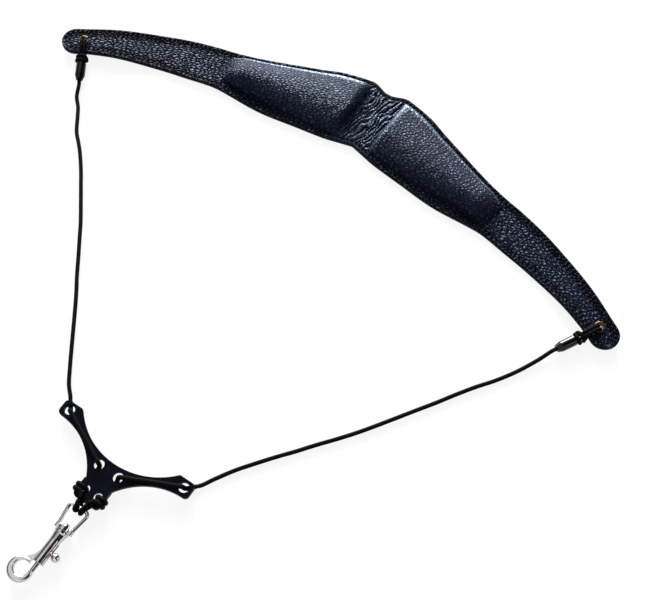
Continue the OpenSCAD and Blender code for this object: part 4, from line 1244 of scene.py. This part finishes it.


# Marks on the face leather: fades of the gap and of the finer grain, painted shade of the seams, the pads'
# borders, the tabs' upper borders and the folds' valleys, and gloss of the pads' rims, inner end and folds
GAP_FADE, GRAIN_FADE = 4 * MM, 30 * MM
GROOVE_W, GROOVE_SHADE = 0.8 * MM, 0.75
BORDER_AT, BORDER_FADE, BORDER_SHADE = 0.96, 0.12, 0.5
GAP_BORDER, GAP_BORDER_FADE = 6 * MM, 3 * MM
TAB_IN, TAB_FADE = 10 * MM, 12 * MM
TAB_BORDER, TAB_BORDER_FADE, TAB_SHADE = 8 * MM, 2 * MM, 0.5
VALLEY_AT, VALLEY_FADE = 0.05, 0.35
RIM_AT, RIM_SPREAD, RIM_GLOSS, RIM_RISE = 0.90, 0.05, 1.25, 2
END_AT, END_SPREAD, END_GLOSS, END_SIDE = 2.5 * MM, 2 * MM, 0.6, 0.97
FOLD_GLOSS, FOLD_RISE = 0.25, 0.25


class STRAP_OT_face(bpy.types.Operator):
    """Makes the face leather with its swollen pads, wrinkles, seam groove and rolled edge"""

    bl_idname = "strap.face"
    bl_label = "Face leather"

    def execute(self, context):
        b = context.scene.strap_band
        skin = self.skin(b)
        cut_eyelets(b, skin)
        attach(finish(skin, leather_finish(context.scene.strap_looks)), "strap")
        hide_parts("band_face", "left_cushion", "right_cushion")
        return {"FINISHED"}

    def skin(self, b):
        """The closed skin: rings of points over the face from edge to edge and back underneath."""
        s1 = band_stations(b)
        v = band_columns(b, s1)
        s = np.broadcast_to(s1[:, None], v.shape)
        e = edge_distance(b, s, v)
        a = across_pad(b, np.abs(s), v)
        base = b.lining_t + b.layer_gap
        swell = crown(b, np.abs(s), a)
        folds = gap_wrinkles(b, s, v) + tab_creases(b, s, v)
        folds = folds - TAB_SEAM_DIP * inner_seam(b, s, e, TAB_SEAM_W)
        start = CLOTH_START * swell
        height = base + b.face_t + start + folds - seam_groove(b, e) - rim_drop(e, b.face_t)
        top = band_point(b, leaning(b, s, v), v, height)
        for side in SIDES.values():
            top = top + PadCloth(b, side).moved(s, a) * (np.sign(s) == side)[..., None]
        back = [-6, -27, v.shape[1] // 2, 27, 5]
        low = v[:, back]
        under = band_point(b, leaning(b, s[:, back], low), low, base + 0 * low)
        maps = self.maps(b, s, v, e, a, swell)
        bare = np.zeros(low.shape + (2,))
        flat = np.stack([maps["hide"][:, back, 0], low], -1)
        for key, pairs in maps.items():
            maps[key] = np.concatenate([pairs, flat if key == "hide" else bare], 1)
        tips = [band_point(b, np.array(t), np.array(0.0), base + b.face_t / 2) for t in (-b.half, b.half)]
        return closed_sweep("neck_band_leather", np.concatenate([top, under], 1), *tips, maps)

    def maps(self, b, s, v, e, a, swell):
        """The face's maps. Hide runs along and across, closer on the pads; marks holds edge distance and
        stretch; hollow holds the painted shade of grooves, borders and valleys, and the gloss of rims and
        folds."""
        inner, outer = pad_span(b)
        q = np.abs(s)
        dense = 1 + PAD_GRAIN * smooth((outer - q) / GRAIN_FADE)
        steps = (dense[1:] + dense[:-1]) / 2 * np.diff(s, axis=0)
        along = np.concatenate([0 * s[:1], np.cumsum(steps, axis=0)])
        between = 1 - smooth((q - inner) / GAP_FADE)
        wrinkled = gap_wrinkles(b, s, v) / b.wrinkle_h
        groove = bell(e, b.stitch_in, GROOVE_W) + inner_seam(b, s, e, GROOVE_W)
        border = smooth((np.abs(a) - BORDER_AT) / BORDER_FADE) * (1 - between)
        border = border + smooth((GAP_BORDER - e) / GAP_BORDER_FADE) * between
        on_tab = smooth((q - outer + TAB_IN) / TAB_FADE)
        border = border + TAB_SHADE * on_tab * smooth((TAB_BORDER - e) / TAB_BORDER_FADE) * (v > 0)
        valley = smooth((VALLEY_AT - wrinkled) / VALLEY_FADE) * between
        # Painted shade: fold valleys, seam grooves and the flat borders beside the pads and along the tabs'
        # upper edge are darkened where shade falls
        shade = valley + GROOVE_SHADE * groove + BORDER_SHADE * border
        rim = RIM_GLOSS * bell(a, RIM_AT, RIM_SPREAD) * (a > 0) * np.clip(RIM_RISE * swell / b.crown_h, 0, 1)
        end = END_GLOSS * bell(q, inner + END_AT, END_SPREAD) * (s > 0) * (np.abs(a) < END_SIDE)
        gloss = rim + end + FOLD_GLOSS * between * smooth(wrinkled / FOLD_RISE)
        return {
            "hide": np.stack([along, dense * v], -1),
            "marks": np.stack([e, np.clip(swell / b.crown_h + between, 0, 1)], -1),
            "hollow": np.clip(np.stack([shade, gloss], -1), 0, 1),
        }


def cut_eyelets(b, piece):
    """Cuts the two eyelet holes through a leather piece with upright cylinders."""
    ring = np.linspace(0, 2 * np.pi, 40, endpoint=False)
    circle = np.stack([np.cos(ring), np.sin(ring)], -1) * b.hole_d / 2
    for side in SIDES.values():
        middle = eyelet_place(b, side)[:2]
        wall = np.stack([np.column_stack([circle + middle, np.full(len(ring), z)]) for z in CUT_HEIGHTS])
        cutter = closed_sweep("hole", wall, *(np.array([*middle, z]) for z in CUT_HEIGHTS))
        cut = piece.modifiers.new("hole", "BOOLEAN")
        cut.operation = "DIFFERENCE"
        cut.solver = "EXACT"
        cut.object = cutter
        done = bpy.data.meshes.new_from_object(piece.evaluated_get(bpy.context.evaluated_depsgraph_get()))
        old, tool = piece.data, cutter.data
        piece.modifiers.clear()
        piece.data = done
        done.name = old.name
        bpy.data.objects.remove(cutter)
        bpy.data.meshes.remove(old)
        bpy.data.meshes.remove(tool)


# Seams: share of the groove and of the thread under the lining, how deep the threads lie, and their bow
UNDER_GROOVE, UNDER_THREAD = 0.6, 0.5
FACE_SEAM_IN, UNDER_SEAM_Z = 0.22 * MM, 0.30 * MM
STITCH_AHEAD, STITCH_SLANT, STITCH_RISE, STITCH_SINK = 0.4 * MM, 0.10, 0.35, 0.2


class STRAP_OT_lining(bpy.types.Operator):
    """Makes the lining leather under the band"""

    bl_idname = "strap.lining"
    bl_label = "Lining"

    def execute(self, context):
        b = context.scene.strap_band
        s1 = band_stations(b)[::2]
        v = band_columns(b, s1, 8)
        s = np.broadcast_to(s1[:, None], v.shape)
        e = edge_distance(b, s, v)
        drop = rim_drop(e, b.lining_t)
        top = band_point(b, s, v, b.lining_t - drop)
        low = band_point(b, s, v, drop + seam_groove(b, e) * UNDER_GROOVE)
        grid = np.concatenate([top, low[:, ::-1]], 1)
        tips = [band_point(b, np.array(t), np.array(0.0), b.lining_t / 2) for t in (-b.half, b.half)]
        lining = closed_sweep("neck_band_lining", grid, *tips)
        cut_eyelets(b, lining)
        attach(finish(lining, lining_finish(context.scene.strap_looks)), "strap")
        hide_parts("band_lining")
        return {"FINISHED"}


def seam_line(b, inset, s_from=None):
    """Stations and distances across of a seam at an inset from the edge: along the lower edge, round the
    right tip, back along the upper edge and round the left tip; with s_from only one tab's closed loop."""
    r = b.end_w / 2
    turn = np.linspace(-np.pi / 2, np.pi / 2, 60)
    tip_s = b.half - r + (r - inset) * np.cos(turn)
    tip_v = (r - inset) * np.sin(turn)
    if s_from is None:
        s = np.linspace(-(b.half - r), b.half - r, 1200)
        low, top = -low_half(b, np.abs(s)) + inset, top_half(b, np.abs(s)) - inset
        runs_s = [s, tip_s, s[::-1], -tip_s]
        runs_v = [low, tip_v, top[::-1], tip_v[::-1]]
    else:
        s = np.linspace(s_from, b.half - r, 300)
        close = round_in((s - s_from) / TAB_SEAM_ROUND)
        low, top = (inset - low_half(b, s)) * close, (top_half(b, s) - inset) * close
        runs_s = [s, tip_s, s[::-1]]
        runs_v = [low, tip_v, top[::-1]]
    return np.concatenate(runs_s), np.concatenate(runs_v)


def stitch_row(b, s, v, z):
    """Middles and directions of stitches spaced evenly along a seam on the band at height z."""
    line = band_point(b, s, v, z)
    whole = run_of(line)[-1]
    count = int(whole / (b.stitch_l + b.stitch_gap))
    at = (np.arange(count) + 0.5) * whole / count
    middles = along_line(line, at)
    return middles, unit(along_line(line, at + STITCH_AHEAD) - middles)


def stitch_mesh(name, middles, ways, stitch_l, thread_d):
    """Stitches as bowed threads: rings of six points whose radius is the root of 1 less the fourth power of
    the place along the stitch, and whose middle stands higher than the two ends by a parabola."""
    rings, sides = 7, 6
    t = np.linspace(-1, 1, rings)
    girth = thread_d / 2 * np.sqrt(np.clip(1 - t**4, 0.02, 1))
    rise = thread_d * STITCH_RISE * (1 - t**2) - thread_d * STITCH_SINK
    turn = np.linspace(0, 2 * np.pi, sides, endpoint=False)
    up = np.array([0.0, 0.0, 1.0])
    across = unit(np.cross(up, ways))
    slant = unit(ways + STITCH_SLANT * across)
    spine = middles[:, None] + slant[:, None] * (t * stitch_l / 2)[None, :, None] + up * rise[None, :, None]
    hoop = np.cos(turn)[:, None] * across[:, None, None, :] + np.sin(turn)[:, None] * up
    grid = spine[:, :, None, :] + girth[None, :, None, None] * hoop
    count = len(middles)
    each = rings * sides
    wall = grid_faces(rings, sides, ring=True)
    shift = (np.arange(count) * each)[:, None, None]
    quads = (wall[None] + shift).reshape(-1, 4)[:, ::-1]
    ends = np.array([np.arange(sides), np.arange(each - sides, each)[::-1]])
    caps = (ends[None] + shift).reshape(-1, sides)
    return new_piece(name, grid.reshape(-1, 3), quads.tolist() + caps.tolist())


class STRAP_OT_seams(bpy.types.Operator):
    """Sews the seams: all round the edge on both sides, and the loops on the tabs"""

    bl_idname = "strap.seams"
    bl_label = "Seams"

    def execute(self, context):
        b = context.scene.strap_band
        material = thread_finish(context.scene.strap_looks)
        top = b.lining_t + b.layer_gap + b.face_t - FACE_SEAM_IN
        s, v = seam_line(b, b.stitch_in)
        loop_s, loop_v = seam_line(b, b.loop_in, s_from=b.half - b.loop_l)
        rows = [stitch_row(b, s, v, top)]
        rows += [stitch_row(b, side * loop_s, loop_v, top) for side in SIDES.values()]
        middles, ways = (np.concatenate(part) for part in zip(*rows))
        face = stitch_mesh("face_stitches", middles, ways, b.stitch_l, b.thread_d)
        row = stitch_row(b, s, v, UNDER_SEAM_Z)
        under = stitch_mesh("lining_stitches", *row, b.stitch_l, UNDER_THREAD * b.thread_d)
        for piece in (face, under):
            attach(finish(piece, material), "strap")
        return {"FINISHED"}


class STRAP_OT_hardware(bpy.types.Operator):
    """Gives the eyelets, sleeves, yoke and snap hook their finishes"""

    bl_idname = "strap.hardware"
    bl_label = "Hardware"

    def execute(self, context):
        looks, b = context.scene.strap_looks, context.scene.strap_band
        nickel = metal_finish("nickel", looks.nickel, 0.08, 0.18, 260.0)
        brass = ("eyelet_brass", looks.brass, 0.22, 0.36, 500.0)
        washer = metal_finish(*brass)
        sleeve = sleeve_finish(looks)
        finishes = dict.fromkeys(NICKEL_NODES, nickel)
        finishes["bolt_spring"] = metal_finish("spring_steel", looks.steel, 0.25, 0.38, 700.0)
        finishes["yoke_plate"] = yoke_finish(looks)
        for name, side in SIDES.items():
            # Each eyelet gets its own brass, with painted shade round its own bore
            finishes[f"{name}_eyelet"] = metal_finish(f"{name}_{brass[0]}", *brass[1:], eyelet_place(b, side))
            finishes[f"{name}_washer"] = washer
            finishes[f"{name}_sleeve"] = sleeve
        for name, material in finishes.items():
            finish(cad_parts[name], material)
        soften_edges(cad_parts["yoke_plate"], PLATE_ROUND)
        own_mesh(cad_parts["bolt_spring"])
        return {"FINISHED"}


def soften_edges(node, width):
    """Joins a solid's loose triangles and rounds its sharp edges, by modifiers alone."""
    weld = node.modifiers.new("weld", "WELD")
    weld.merge_threshold = 0.002 * MM
    flat = node.modifiers.new("flat", "DECIMATE")
    flat.decimate_type = "DISSOLVE"
    flat.angle_limit = math.radians(0.5)
    bevel = node.modifiers.new("edges", "BEVEL")
    bevel.width = width
    bevel.segments = 2
    bevel.limit_method = "ANGLE"
    bevel.angle_limit = math.radians(40)
    bevel.harden_normals = True


class STRAP_PT_panel(bpy.types.Panel):
    """Lists the strap's pieces"""

    bl_idname = "STRAP_PT_panel"
    bl_label = "Neck strap"
    bl_space_type = "VIEW_3D"
    bl_region_type = "UI"
    bl_category = "Neck strap"

    def draw(self, context):
        for step in STEPS:
            self.layout.operator(step.bl_idname)
        for group in ("strap_band", "strap_cords", "strap_looks", "strap_stage"):
            settings = getattr(context.scene, group)
            box = self.layout.box()
            for key in settings.bl_rna.properties.keys()[2:]:
                box.prop(settings, key)


STEPS = (
    STRAP_OT_stage, STRAP_OT_cords, STRAP_OT_lashing, STRAP_OT_hitches, STRAP_OT_face, STRAP_OT_lining,
    STRAP_OT_seams, STRAP_OT_hardware,
)
GROUPS = {"strap_band": BandSizes, "strap_cords": CordSizes, "strap_looks": Looks, "strap_stage": StageSizes}


def register():
    for group in GROUPS.values():
        bpy.utils.register_class(group)
    for name, group in GROUPS.items():
        setattr(bpy.types.Scene, name, bpy.props.PointerProperty(type=group))
    for step in (*STEPS, STRAP_PT_panel):
        bpy.utils.register_class(step)


def unregister():
    for step in (*STEPS, STRAP_PT_panel):
        bpy.utils.unregister_class(step)
    for name, group in GROUPS.items():
        delattr(bpy.types.Scene, name)
        bpy.utils.unregister_class(group)


def main():
    """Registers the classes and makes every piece."""
    register()
    bpy.ops.strap.stage()
    bpy.ops.strap.cords()
    bpy.ops.strap.lashing()
    bpy.ops.strap.hitches()
    bpy.ops.strap.face()
    bpy.ops.strap.lining()
    bpy.ops.strap.seams()
    bpy.ops.strap.hardware()
    bpy.context.view_layer.update()


if __name__ == "__main__":
    main()
